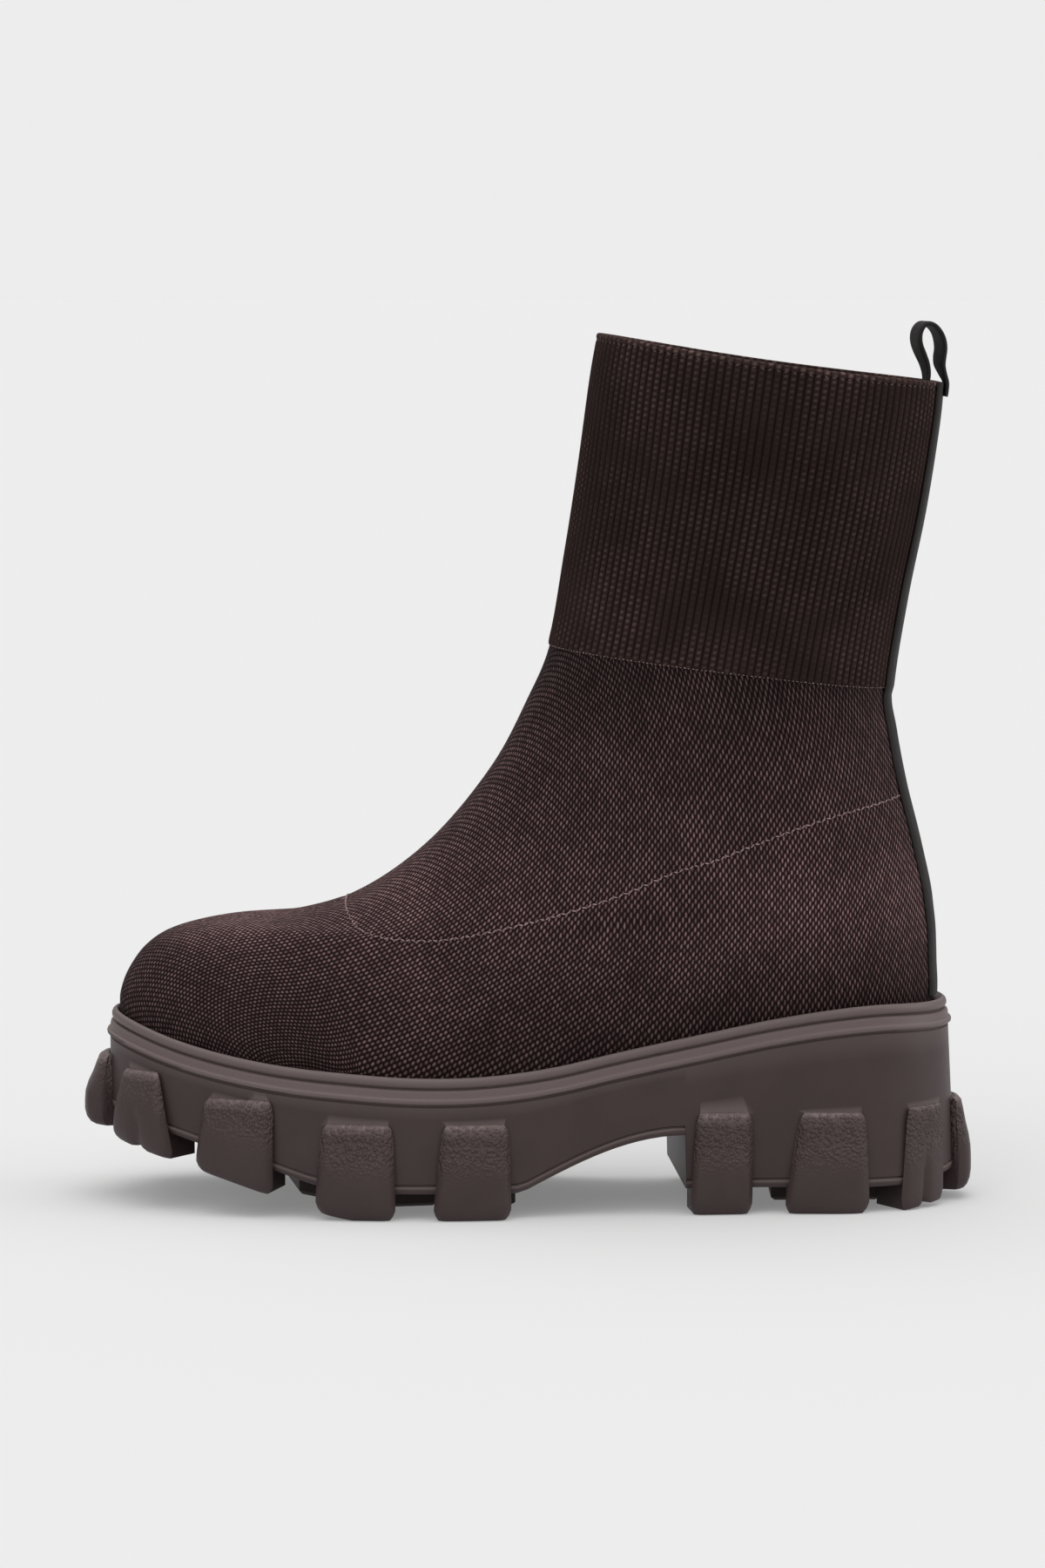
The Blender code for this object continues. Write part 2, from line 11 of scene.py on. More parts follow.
import bpy
import numpy as np
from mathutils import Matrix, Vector

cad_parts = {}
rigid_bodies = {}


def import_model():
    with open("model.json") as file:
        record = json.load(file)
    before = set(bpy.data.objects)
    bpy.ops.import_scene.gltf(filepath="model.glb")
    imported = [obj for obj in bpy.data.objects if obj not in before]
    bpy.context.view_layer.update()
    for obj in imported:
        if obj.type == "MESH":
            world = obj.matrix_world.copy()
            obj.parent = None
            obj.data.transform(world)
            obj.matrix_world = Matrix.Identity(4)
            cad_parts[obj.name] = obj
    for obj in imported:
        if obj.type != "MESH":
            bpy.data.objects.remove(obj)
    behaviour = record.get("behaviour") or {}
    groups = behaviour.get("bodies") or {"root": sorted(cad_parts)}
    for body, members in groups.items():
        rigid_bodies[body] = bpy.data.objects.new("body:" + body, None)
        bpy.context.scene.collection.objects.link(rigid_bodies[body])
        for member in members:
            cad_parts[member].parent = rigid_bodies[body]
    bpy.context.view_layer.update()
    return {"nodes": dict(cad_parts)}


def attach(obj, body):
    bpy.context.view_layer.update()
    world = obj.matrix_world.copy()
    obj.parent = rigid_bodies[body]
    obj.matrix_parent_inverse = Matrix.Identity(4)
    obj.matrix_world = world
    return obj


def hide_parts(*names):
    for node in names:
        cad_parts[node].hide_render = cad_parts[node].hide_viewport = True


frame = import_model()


def rows_of(kind, rows):
    """A table whose rows are all of one kind."""
    return [kind(*row) for row in rows]


# Last: the form that the knitted upper takes
UPPER_LENGTH = 0.2617
BALL_WIDTH = 0.091
HEEL_WIDTH = 0.066
CUFF_RISE = 0.2164  # front of the collar above the rim at the toe
TOE_DRIFT = 0.006  # the toe leans to the inner side
BALL_SLANT = 0.025  # inner ball further forward than the outer one, share of a ring
WAIST_OUTER = 0.0015
WAIST_INNER = 0.0045
COLLAR_DIP = 0.0014
COLLAR_DIP_ROWS = 2  # the dip fades out over this many rows below the collar
DRIFT_END = 0.38  # the toe's lean starts here, share of the length
DRIFT_BEND = 1.5
HEEL_FULL = 2.1  # roundness of each ring at the back
FRONT_POINT = 0.2  # rings are a little more pointed than an even oval in front

# Upper
WALL = 0.0020
CUFF_STEP = 0.0005  # the ribbed cuff is thicker than the foot
TUCK = 0.0050  # how far the upper reaches down inside the rim

# Sole
RIM_TOE = 0.0607
RIM_HEEL = 0.0651
RIM_DIP = 0.0180  # the rim hangs lower at the ball
LUG_DEPTH = 0.0080
LUG_REACH = 0.0080  # outer face of the side lugs, beyond the upper's foot line
LUG_INWARD = 0.0140
TOE_LUG_REACH = 0.0115
REAR_LUG_REACH = 0.0125
TOE_SPRING = 0.0250
HEEL_BEVEL = 0.0040
SHELF_START = 0.80  # share of the length
HEEL_SHELF = 0.0017  # the rim stands out further behind the heel
HEEL_FLARE = 0.0020  # and the wall still further at its lower edge
ARCH_HEIGHT = 0.0250
BAR_HEIGHT = 0.0160

# Small pieces
TAPE_WIDTH = 0.0200
TAPE_THICK = 0.0010
LOOP_WIDTH = 0.0140
LOOP_THICK = 0.0014
GAP = 0.0003

TOE_X = -0.13135
OUTER, INNER = -1, 1
TOE_CROWDING = 1.35  # sole stations stand closer together at the toe
FOOT_LINE_STEPS = 300

# Rings of the upper from the foot line to the collar. front and back are shares of UPPER_LENGTH,
# front_up and back_up of CUFF_RISE, outer and inner of BALL_WIDTH, heel of HEEL_WIDTH.
# ball_at and heel_at are shares of the ring's own length, follow says how far it follows the rim.
Ring = namedtuple("Ring", "front front_up back back_up follow outer inner heel ball_at heel_at full")
RINGS = rows_of(Ring, [
    (0.0000, 0.0000, 1.0000, 0.0000, 1.00, 0.500, 0.500, 0.470, 0.355, 0.860, 2.35),
    (0.0012, 0.0245, 1.0002, 0.0226, 0.95, 0.506, 0.506, 0.488, 0.355, 0.860, 2.35),
    (0.0110, 0.0565, 0.9990, 0.0504, 0.80, 0.495, 0.497, 0.500, 0.360, 0.855, 2.35),
    (0.0325, 0.0920, 0.9983, 0.0781, 0.62, 0.475, 0.478, 0.503, 0.365, 0.850, 2.40),
    (0.0660, 0.1170, 0.9973, 0.1058, 0.48, 0.448, 0.452, 0.500, 0.375, 0.845, 2.50),
    (0.1260, 0.1335, 0.9948, 0.1335, 0.36, 0.432, 0.434, 0.494, 0.400, 0.830, 2.75),
    (0.2110, 0.1415, 0.9912, 0.1659, 0.27, 0.427, 0.427, 0.485, 0.430, 0.820, 2.85),
    (0.2980, 0.1760, 0.9836, 0.2075, 0.18, 0.418, 0.418, 0.473, 0.430, 0.800, 2.80),
    (0.3838, 0.2525, 0.9755, 0.2491, 0.08, 0.406, 0.404, 0.462, 0.430, 0.780, 2.60),
    (0.4573, 0.3600, 0.9610, 0.3184, 0.00, 0.393, 0.393, 0.462, 0.430, 0.740, 2.50),
    (0.5013, 0.4598, 0.9485, 0.3970, 0.00, 0.384, 0.384, 0.477, 0.430, 0.680, 2.35),
    (0.5297, 0.5439, 0.9423, 0.4616, 0.00, 0.386, 0.386, 0.505, 0.430, 0.640, 2.25),
    (0.5492, 0.6760, 0.9591, 0.5957, 0.00, 0.400, 0.400, 0.550, 0.440, 0.580, 2.15),
    (0.5652, 0.8008, 0.9797, 0.7204, 0.00, 0.421, 0.421, 0.582, 0.440, 0.560, 2.10),
    (0.5797, 0.9302, 0.9952, 0.8429, 0.00, 0.438, 0.438, 0.605, 0.440, 0.560, 2.10),
    (0.5896, 1.0000, 1.0006, 0.9090, 0.00, 0.444, 0.444, 0.6136, 0.440, 0.560, 2.10),
])
CUFF_ROW = 11
COLLAR_ROW = 15

# How far the rim hangs below a straight line from toe to heel: share of length, share of RIM_DIP
Sag = namedtuple("Sag", "along drop")
RIM_SAG = rows_of(Sag, [
    (-0.05, -0.24), (0.0, 0.0), (0.078, 0.38), (0.184, 0.72), (0.290, 0.90), (0.362, 0.98), (0.457, 0.98),
    (0.540, 0.85), (0.600, 0.68), (0.710, 0.39), (0.810, 0.13), (0.920, -0.05), (1.0, 0.0), (1.05, 0.0),
])

# How far the tread lifts off the floor at the toe: share of length, share of TOE_SPRING
Lift = namedtuple("Lift", "along rise")
TREAD_LIFT = rows_of(Lift, [
    (-0.050, 1.04), (-0.038, 1.00), (0.019, 0.80), (0.103, 0.57), (0.194, 0.28), (0.248, 0.10),
    (0.293, 0.0), (0.400, 0.0), (0.500, 0.0),
])
HEEL_BEVEL_START = 0.950
HEEL_BEVEL_END = 1.038

# A step of the sole's section: how far beyond the foot line, and how far up
Step = namedtuple("Step", "out up")
WALL_OUT = 0.0031  # how far the wall's lower edge stands beyond the foot line

# Stations are shares of one side's own line, from the toe tip to the middle of the heel
ARCH_START = 0.5023
BREAST_OUTER = 0.676
BREAST_INNER = 0.660
BREAST_STEP = 0.0015

# Side lugs: where the upper and the lower edge start and end, their height, reach and inner end
Lug = namedtuple("Lug", "top_start top_end low_start low_end height reach inward")
SIDE_LUGS = rows_of(Lug, [
    (0.067, 0.118, 0.055, 0.139, 0.0255, LUG_REACH, 0.65),
    (0.172, 0.247, 0.163, 0.248, 0.0266, LUG_REACH, 1.0),
    (0.298, 0.371, 0.291, 0.3745, 0.0300, LUG_REACH, 1.0),
    (0.421, 0.489, 0.411, 0.4915, 0.0300, LUG_REACH, 1.0),
    (0.688, 0.7475, 0.680, 0.747, 0.0320, LUG_REACH, 0.8),
    (0.798, 0.8624, 0.780, 0.866, 0.0320, LUG_REACH, 0.8),
    (0.904, 0.949, 0.896, 0.950, 0.0320, LUG_REACH, 0.6),
])
TOE_LUG = Lug(-0.030, 0.030, -0.036, 0.036, 0.0245, TOE_LUG_REACH, 0.65)
REAR_LUG = Lug(0.978, 1.022, 0.972, 1.028, 0.0305, REAR_LUG_REACH, 0.6)

# Section of a lug: share of the way down, share of its reach beyond the wall
Slope = namedtuple("Slope", "down reach")
LUG_ROOT = 0.004  # how far a lug reaches into the wall and the sole

# Bars in the middle of the tread: middle along the length as a share, sideways, and size
Bar = namedtuple("Bar", "along across length width turn")
TREAD_BARS = rows_of(Bar, [
    (0.150, -0.0110, 0.016, 0.017, 12), (0.150, 0.0130, 0.016, 0.017, -12),
    (0.250, -0.0135, 0.018, 0.020, 12), (0.250, 0.0135, 0.018, 0.020, -12),
    (0.350, -0.0135, 0.018, 0.020, 12), (0.350, 0.0135, 0.018, 0.020, -12),
    (0.450, -0.0130, 0.016, 0.018, 12), (0.450, 0.0130, 0.016, 0.018, -12), (0.735, 0.0, 0.013, 0.022, 0),
    (0.825, 0.0, 0.013, 0.022, 0), (0.910, 0.0, 0.012, 0.020, 0),
])

# The visible pieces' fineness
FOOT_STATIONS = 140  # per side
FOOT_RINGS = 115
RIBS = 60  # per side of the cuff
RIB_STEPS = 7
CUFF_RINGS = 30
FINE_SHARES = 400
NORMAL_STEP = 0.04  # rows up and down over which a ring's outward directions are taken
SPOT_STEPS = 12  # steps of a seam between two of its spots, before they are evened
HALVINGS = 26
FOOT_PAST = 0.05  # the foot goes on inside the cuff for this share of a row
SOLE_SHARP = 38  # degrees between faces past which an edge stays sharp
PIECE_SHARP = 40
STRAP_SHARP = 50
SOLE_FRONT = 74  # stations per side in front of the heel breast
SOLE_BACK = 34

# Knit of the foot, in millimetres on the fabric
WALE = 1.4
COURSE = 1.8
SIDE_POWER = 1.2  # how the way across and the way down the side add up
RIDGE_STEPS = 2600
RIDGE_PAST = 0.9  # the ridge goes on up the cuff for this share of a row
POINTS_AT_ONCE = 2000
TOE_JOIN = -0.066  # in front of this the lines bend about a place under the toe
TOE_REACH = 0.090
BACK_SHARE = 0.7  # share of the way round the back that counts along and across

# Painted light and shade on the knit up the foot's rows and along its length, and on the cuff: painted shade
# near the rim and under the cuff, painted light on the foot's middle rows and on the cuff's lower edge, hem,
# front and back end; 1 leaves it as it is
FOOT_PAINTED_LIGHT_SHADE = [0.62, 0.70, 0.88, 1.02, 1.15, 1.25, 1.32, 1.32, 1.16, 0.95, 0.76, 0.56]
Tone = namedtuple("Tone", "place tone")
LENGTH_PAINTED_LIGHT_SHADE = rows_of(Tone, [
    (0.0, 0.84), (0.15, 0.97), (0.30, 1.06), (0.45, 0.97), (0.55, 0.88), (0.70, 0.95), (0.85, 1.05),
    (1.0, 1.05),
])
CUFF_PAINTED_LIGHT_SHADE = rows_of(Tone, [
    (10.9, 1.25), (11.4, 1.20), (12.0, 1.0), (13.0, 0.95), (14.0, 1.0), (14.8, 1.1), (14.9, 1.6),
    (15.0, 2.0),
])
CUFF_LENGTH_PAINTED_LIGHT_SHADE = rows_of(Tone, [
    (0.50, 1.22), (0.62, 1.10), (0.75, 0.97), (0.86, 0.98), (0.94, 1.15), (1.0, 1.35),
])

# Cuff
RIB_HEIGHT = 0.00055
RIB_SHARP = 0.6
RIB_COURSE = 1.9  # millimetres between the small stitches on a rib
CUFF_FIRST = 11.06  # rows between which the ribs stand at their full height
CUFF_LAST = 14.74
HEM_ROW = 14.85

# Stitches: half their length, width and height, how far they are lifted, their turn in degrees
Stitch = namedtuple("Stitch", "long wide high lift tilt")
HEM_STITCH = Stitch(0.0009, 0.00030, 0.00030, 0.0004, 32)
BORDER_STITCH = Stitch(0.00045, 0.00025, 0.00025, 0.0002, 10)
FOOT_STITCH = Stitch(0.00078, 0.00024, 0.00024, -0.00008, 26)
STITCH_SIDES = 8
STITCH_LEVELS = 5
BORDER_COUNT = 110  # per side
BORDER_BELOW = 0.015  # rows under the cuff

# A step of the cuff's section: row, how far out, share of the ribs' height
Fold = namedtuple("Fold", "row out ribs")
CUFF_FOOT = rows_of(Fold, [
    (10.97, 0.0000, 0.0), (10.985, 0.0004, 0.3), (11.01, 0.0005, 0.7),
])
CUFF_HEM = rows_of(Fold, [
    (14.80, 0.0005, 0.8), (14.838, 0.0004, 0.5), (14.85, 0.0002, 0.3), (14.862, 0.0005, 0.3),
    (14.90, 0.0008, 0.3), (14.95, 0.0008, 0.3), (14.98, 0.0006, 0.2), (14.996, 0.0001, 0.1),
    (15.0, -0.0006, 0.0), (14.996, -0.0013, 0.0), (14.975, -0.0018, 0.0), (14.8, -0.0020, 0.2),
    (14.0, -0.0020, 0.3), (13.0, -0.0020, 0.3), (12.0, -0.0020, 0.3), (11.2, -0.0020, 0.3),
    (10.97, -0.0019, 0.0),
])

# The seam on the foot: place along and height, as seen on the outer side
Spot = namedtuple("Spot", "along up")
FOOT_SEAM = rows_of(Spot, [
    (-0.0592, 0.0988), (-0.0570, 0.0942), (-0.0529, 0.0901), (-0.0451, 0.0878), (-0.0326, 0.0870),
    (-0.0244, 0.0876), (-0.0119, 0.0898), (0.0082, 0.0947), (0.0291, 0.1013), (0.0467, 0.1085),
    (0.0587, 0.1118), (0.0734, 0.1173), (0.0962, 0.1252), (0.1190, 0.1306),
])
SEAM_DEPTH = 0.0003
SEAM_SPREAD = 0.0014
SEAM_STITCH = 0.0017

# Soft troughs in the upper: both ends as seen on the outer side, depth and spread
Crease = namedtuple("Crease", "start end depth spread")
CREASES = [
    Crease(Spot(-0.0470, 0.0872), Spot(-0.0290, 0.0862), 0.0007, 0.0022),
    Crease(Spot(-0.0280, 0.1020), Spot(-0.0020, 0.0900), 0.0005, 0.0060),
    Crease(Spot(0.0060, 0.1560), Spot(0.0350, 0.1450), 0.0007, 0.0060),
    Crease(Spot(0.0100, 0.1330), Spot(0.0480, 0.1290), 0.0005, 0.0080),
]

# Tape and loop
TAPE_RINGS = 90
TAPE_SPREAD = 1.2  # the tape lies a little wider on the knit than the solid
TAPE_START = 0.25  # rows where the tape starts and how far under the collar it ends
TAPE_STOP = 0.02
TAPE_CLIMB = 0.15  # it starts to climb on to the cuff this many rows under it
TAPE_CLIMB_ROWS = 0.2
# Places across a strap as shares of its width, and its thickness there
TAPE_ACROSS = [-0.5, -0.48, -0.44, -0.3, -0.15, 0.0, 0.15, 0.3, 0.44, 0.48, 0.5]
TAPE_SECTION = [0.25, 0.7, 1.0, 1.0, 1.0, 1.0, 1.0, 1.0, 1.0, 0.7, 0.25]
STRAP_ACROSS = [-0.5, -0.47, -0.4, -0.2, 0.0, 0.2, 0.4, 0.47, 0.5]
STRAP_SECTION = [0.35, 0.8, 1.0, 1.0, 1.0, 1.0, 1.0, 0.8, 0.35]
STRAP_STEPS = 80
STRAP_RISE = 0.0186
# The loop's line from the tape over to the inside: back of the collar, share of STRAP_RISE, turn
Twist = namedtuple("Twist", "back up turn")
STRAP_PATH = rows_of(Twist, [
    (0.0022, -0.26, 0), (0.0025, -0.15, 0), (0.0026, -0.02, 0), (0.0015, 0.13, -4), (0.0006, 0.27, -8),
    (0.0006, 0.41, -10), (0.0009, 0.55, -10), (0.0006, 0.70, -10), (-0.0004, 0.84, -9), (-0.0022, 0.95, -9),
    (-0.0044, 0.985, -9), (-0.0061, 0.91, -9), (-0.0069, 0.78, -9), (-0.0067, 0.63, -9),
    (-0.0056, 0.47, -9), (-0.0043, 0.30, -7), (-0.0036, 0.12, -4), (-0.0038, -0.06, -1),
    (-0.0043, -0.30, 0), (-0.0049, -0.60, 0), (-0.0055, -0.90, 0),
])

# Section of the rim, from the bed outwards, up from the rim's own height
FINE_RIM = rows_of(Step, [
    (GAP, -TUCK - GAP), (GAP, -0.0012), (0.0005, -0.0004), (0.0010, 0.0), (0.0016, -0.0001),
    (0.0022, -0.0006), (0.0025, -0.0014), (0.0025, -0.0022), (0.0021, -0.0029), (0.0012, -0.0033),
    (0.0012, -0.0036), (0.0022, -0.0038), (0.0028, -0.0041), (0.0030, -0.0048), (0.0031, -0.0060),
    (0.0033, -0.0064), (0.0039, -0.0066), (0.0041, -0.0071), (0.0040, -0.0077), (0.0035, -0.0081),
    (0.0027, -0.0083), (0.0027, -0.0087), (0.0031, -0.0091),
])
WALL_RINGS = 5
# and up from the wall's own lower edge
FINE_WALL = rows_of(Step, [
    (0.0031, 0.0042), (0.0031, 0.0032), (0.0025, 0.0029), (0.0025, 0.0026), (0.0032, 0.0023),
    (0.0034, 0.0014), (0.0031, 0.0005), (0.0024, 0.0001), (0.0016, 0.0),
])
FINE_LUG = rows_of(Slope, [
    (0.0, 0.06), (0.015, 0.28), (0.05, 0.44), (0.14, 0.54), (0.28, 0.68), (0.42, 0.86), (0.55, 0.97),
    (0.68, 1.0), (0.80, 1.0), (0.89, 0.94), (0.95, 0.82), (0.985, 0.66), (1.0, 0.48),
])
LUG_SHARES = [0.0, 0.012, 0.03, 0.055, 0.09, 0.15, 0.24, 0.34, 0.42, 0.46, 0.5, 0.54, 0.58, 0.66, 0.76,
              0.85, 0.91, 0.945, 0.97, 0.988, 1.0]
LUG_END_ROUND = 0.52  # share of the reach that is lost at a lug's two ends
LUG_END_SHARE = 0.14
LUG_END_POWER = 2.2
LUG_PILLOW = 0.06  # and from its middle to its ends
LUG_LOW_CORNER = 0.08  # share of the width that is lost at each lower and upper corner
LUG_HIGH_CORNER = 0.07
LOW_CORNER_FROM = 0.86  # shares of the way down where the corners start and end
HIGH_CORNER_TO = 0.10
NOTCH_FROM = 0.45  # the notch deepens over NOTCH_FADE from this share of the way down
NOTCH_FADE = 0.2
NOTCH_LIFT = 1.3  # and lifts the lug's lowest tenth by this much of its depth
NOTCH_LIFT_FROM = 0.9
NOTCH_DEPTH = 0.0013
NOTCH_SPREAD = 0.07
NOTCHED = [0, 6]
GRAIN_LOW = 0.32  # the lugs' pebble grain fades in over these shares of their height
GRAIN_HIGH = 0.82
LUG_HEIGHT = 0.0300
BAR_BEVEL = 0.0012  # inwards, and how far up
BAR_BEVEL_UP = 0.0010
PAINTED_LIGHT_LOW = 0.22  # edges that face up get painted light, from here to here
PAINTED_LIGHT_HIGH = 0.75
RIM_BAND = 0.0082  # and the rim above this depth gets painted light all over
RIM_PAINTED_LIGHT = 0.72

# Camera and light
CAMERA_PLACE = (-0.0016, -1.8, 0.30)
CAMERA_PITCH = math.radians(84.7)
LENS = 129.6
SENSOR = 36.0
FLOOR_HALF = 40.0
OUTER_UV = "knit_place"


class SmoothLine:
    """Smooth line through a short table, of numbers or of rows of numbers."""

    def __init__(self, places, values):
        self.places = np.asarray(places, float)
        self.values = np.asarray(values, float)
        self.span = np.diff(self.places)
        wide = (-1,) + (1,) * (self.values.ndim - 1)
        rise = np.diff(self.values, axis=0) / self.span.reshape(wide)
        before, after = self.span[:-1].reshape(wide), self.span[1:].reshape(wide)
        inner = (rise[:-1] * after + rise[1:] * before) / (before + after)
        self.slope = np.concatenate((rise[:1], inner, rise[-1:]))

    def at(self, x):
        """Value at x, which is a number, or an array where the table holds numbers."""
        x = np.clip(x, self.places[0], self.places[-1])
        i = np.clip(np.searchsorted(self.places, x, side="right") - 1, 0, len(self.span) - 1)
        t = (x - self.places[i]) / self.span[i]
        t2 = t * t
        t3 = t2 * t
        value = self.values[i] * (2 * t3 - 3 * t2 + 1) + self.values[i + 1] * (3 * t2 - 2 * t3)
        return value + self.span[i] * (self.slope[i] * (t3 - 2 * t2 + t) + self.slope[i + 1] * (t3 - t2))


RING_LINE = SmoothLine(range(len(RINGS)), RINGS)
SAG_LINE = SmoothLine([s.along for s in RIM_SAG], [s.drop for s in RIM_SAG])
LIFT_LINE = SmoothLine([s.along for s in TREAD_LIFT], [s.rise for s in TREAD_LIFT])


def limited(t):
    """t, but at least 0 and at most 1."""
    return min(max(t, 0.0), 1.0)


def eased(t):
    """Share t with a soft start and end."""
    return t * t * (3 - 2 * t)


def share_of_length(x):
    return (x - TOE_X) / UPPER_LENGTH


def rim_sag(along):
    return RIM_DIP * SAG_LINE.at(along)


def rim_height(x):
    """Height of the top of the rim."""
    along = share_of_length(x)
    return RIM_TOE + (RIM_HEEL - RIM_TOE) * along - rim_sag(along)


def tread_height(x):
    """Height of the bottom of the lugs: toe spring in front, a bevel behind the heel."""
    along = share_of_length(x)
    if along < 0.5:
        return TOE_SPRING * max(float(LIFT_LINE.at(along)), 0.0)
    bevel = (along - HEEL_BEVEL_START) / (HEEL_BEVEL_END - HEEL_BEVEL_START)
    return HEEL_BEVEL * limited(bevel)


def toe_drift(x):
    lean = np.clip((DRIFT_END - share_of_length(x)) / DRIFT_END, 0.0, 1.0)
    return TOE_DRIFT * lean ** DRIFT_BEND


def ring_at(row):
    """The ring's values at any place between the rows of the table."""
    return Ring(*RING_LINE.at(row))


def half_width(ring, a, side):
    """Distances from the middle line at the shares a of the ring, from its front to its back."""
    ball = BALL_WIDTH * (ring.outer if side == OUTER else ring.inner)
    heel = HEEL_WIDTH * ring.heel
    ball_at = ring.ball_at - side * BALL_SLANT
    waist = (WAIST_OUTER if side == OUTER else WAIST_INNER) * ring.follow
    ahead = np.clip(1 - a / ball_at, 0.0, 1.0)
    front = ball * np.clip(1 - ahead ** (ring.full - FRONT_POINT), 0.0, 1.0) ** (1 / ring.full)
    t = np.clip((a - ball_at) / (ring.heel_at - ball_at), 0.0, 1.0)
    middle = ball + (heel - ball) * eased(t) - waist * np.sin(math.pi * t) ** 2
    t = np.clip((a - ring.heel_at) / (1 - ring.heel_at), 0.0, 1.0)
    back = heel * np.clip(1 - t * t, 0.0, 1.0) ** (1 / HEEL_FULL)
    return np.where(a < ball_at, front, np.where(a <= ring.heel_at, middle, back))


def ring_profile(ring, row, a):
    """Places along and heights of a ring at the shares a."""
    front = TOE_X + UPPER_LENGTH * ring.front
    back = TOE_X + UPPER_LENGTH * ring.back
    x = front + (back - front) * a
    z = (RIM_TOE + CUFF_RISE * ring.front_up) * (1 - a) + (RIM_HEEL + CUFF_RISE * ring.back_up) * a
    ends = rim_sag(ring.front) * (1 - a) + rim_sag(ring.back) * a
    z = z - ring.follow * (rim_sag(share_of_length(x)) - ends) + TUCK * min(row, 0.0)
    near_collar = limited((row - COLLAR_ROW + COLLAR_DIP_ROWS) / COLLAR_DIP_ROWS)
    return x, z - COLLAR_DIP * np.sin(math.pi * a) * near_collar


def surface(row, a, side):
    """Points on the outside of the last: row of the table, shares along the ring, side.

    Rows below 0 go straight down inside the rim, as far as TUCK at row -1.
    """
    ring = ring_at(max(row, 0.0))
    a = np.asarray(a, float)
    x, z = ring_profile(ring, row, a)
    y = side * half_width(ring, a, side) + toe_drift(x)
    return np.stack([x, y, z], -1)


def even_line(line, shares):
    """Points at shares of a line's own length."""
    run = np.concatenate(([0.0], np.cumsum(np.linalg.norm(np.diff(line, axis=0), axis=1))))
    return np.stack([np.interp(shares * run[-1], run, line[:, k]) for k in range(3)], -1)


def ring_line(row, stations):
    """Closed ring at even steps: the outer side from front to back, then the inner side."""
    fine = (1 - np.cos(math.pi * np.arange(FINE_SHARES + 1) / FINE_SHARES)) / 2
    shares = np.arange(stations + 1) / stations
    outer = even_line(surface(row, fine, OUTER), shares)
    inner = even_line(surface(row, fine, INNER), shares)
    return np.concatenate([outer, inner[-2:0:-1]])


def unit(vectors):
    return vectors / np.linalg.norm(vectors, axis=-1, keepdims=True)


def ring_and_normals(row, stations):
    """A ring and the directions straight out of the surface on it."""
    line = ring_line(row, stations)
    top = min(row + NORMAL_STEP, COLLAR_ROW)
    up = ring_line(top, stations) - ring_line(top - 2 * NORMAL_STEP, stations)
    along = np.roll(line, -1, 0) - np.roll(line, 1, 0)
    return line, unit(np.cross(along, up))


def foot_line():
    """The upper's lowest ring in plan as a fine loop, with outward normals and shares per side."""
    shares = (1 - np.cos(math.pi * np.arange(FOOT_LINE_STEPS + 1) / FOOT_LINE_STEPS)) / 2
    outer_line = surface(0, shares, OUTER)
    inner_line = surface(0, shares[1:-1], INNER)
    points = [Vector(p[:2]) for p in np.concatenate([outer_line, inner_line[::-1]])]
    count = len(points)
    normals = []
    for i in range(count):
        run = points[(i + 1) % count] - points[i - 1]
        normals.append(Vector((run.y, -run.x)).normalized())
    steps = [(points[(i + 1) % count] - points[i]).length for i in range(count)]
    outer = np.concatenate(([0.0], np.cumsum(steps[:FOOT_LINE_STEPS])))
    inner = np.concatenate(([0.0], np.cumsum(steps[:FOOT_LINE_STEPS - 1:-1])))
    return points, normals, {OUTER: list(outer / outer[-1]), INNER: list(inner / inner[-1])}


FOOT_POINTS, FOOT_NORMALS, FOOT_SHARES = foot_line()


def outline(place, out):
    """Point beside the foot line. place is 0 at the toe tip, -1 or 1 at the heel, less than 0 outside."""
    place = (place + 1) % 2 - 1
    side = OUTER if place < 0 else INNER
    shares = FOOT_SHARES[side]
    share = min(abs(place), 1.0)
    i = min(max(bisect.bisect_right(shares, share) - 1, 0), FOOT_LINE_STEPS - 1)
    t = (share - shares[i]) / (shares[i + 1] - shares[i])
    count = len(FOOT_POINTS)
    near = (-side * i) % count
    far = (-side * (i + 1)) % count
    point = FOOT_POINTS[near].lerp(FOOT_POINTS[far], t)
    normal = FOOT_NORMALS[near].lerp(FOOT_NORMALS[far], t).normalized()
    return point + normal * out


# Meshes

def make_piece(name, points, faces, material, places=None, sharp=PIECE_SHARP):
    """Smooth piece from points and faces, with a texture place for each corner of each face."""
    mesh = bpy.data.meshes.new(name)
    mesh.from_pydata([tuple(p) for p in points], [], faces)
    if places is not None:
        layer = mesh.uv_layers.new(name=OUTER_UV)
        layer.data.foreach_set("uv", np.asarray(places, np.float32).ravel())
    mesh.materials.append(material)
    mesh.shade_smooth()
    mesh.set_sharp_from_angle(angle=math.radians(sharp))
    mesh.update()
    piece = bpy.data.objects.new(name, mesh)
    bpy.context.scene.collection.objects.link(piece)
    return piece


def grid_faces(rows, columns, wrap_rows, wrap_columns):
    """Corners of the quads of a grid as numbers of its points, row after row."""
    i, j = np.meshgrid(np.arange(rows if wrap_rows else rows - 1),
                       np.arange(columns if wrap_columns else columns - 1), indexing="ij")
    i, j = i.ravel(), j.ravel()
    up = (i + 1) % rows
    on = (j + 1) % columns
    return np.stack([i * columns + j, i * columns + on, up * columns + on, up * columns + j], -1)


def corner_places(places, wrap_rows):
    """Texture places of the quads of a grid: places has one more column than the grid."""
    if wrap_rows:
        places = np.concatenate([places, places[:1]])
    return np.stack([places[:-1, :-1], places[:-1, 1:], places[1:, 1:], places[1:, :-1]], 2)


def wrapped(values):
    """The grid with its first column once more at the end."""
    return np.concatenate([values, values[:, :1]], 1)


def closed_wall(name, wall, places, material):
    """Piece from a grid that closes on itself both ways."""
    faces = grid_faces(wall.shape[0], wall.shape[1], True, True).tolist()
    return make_piece(name, wall.reshape(-1, 3), faces, material, corner_places(places, True))


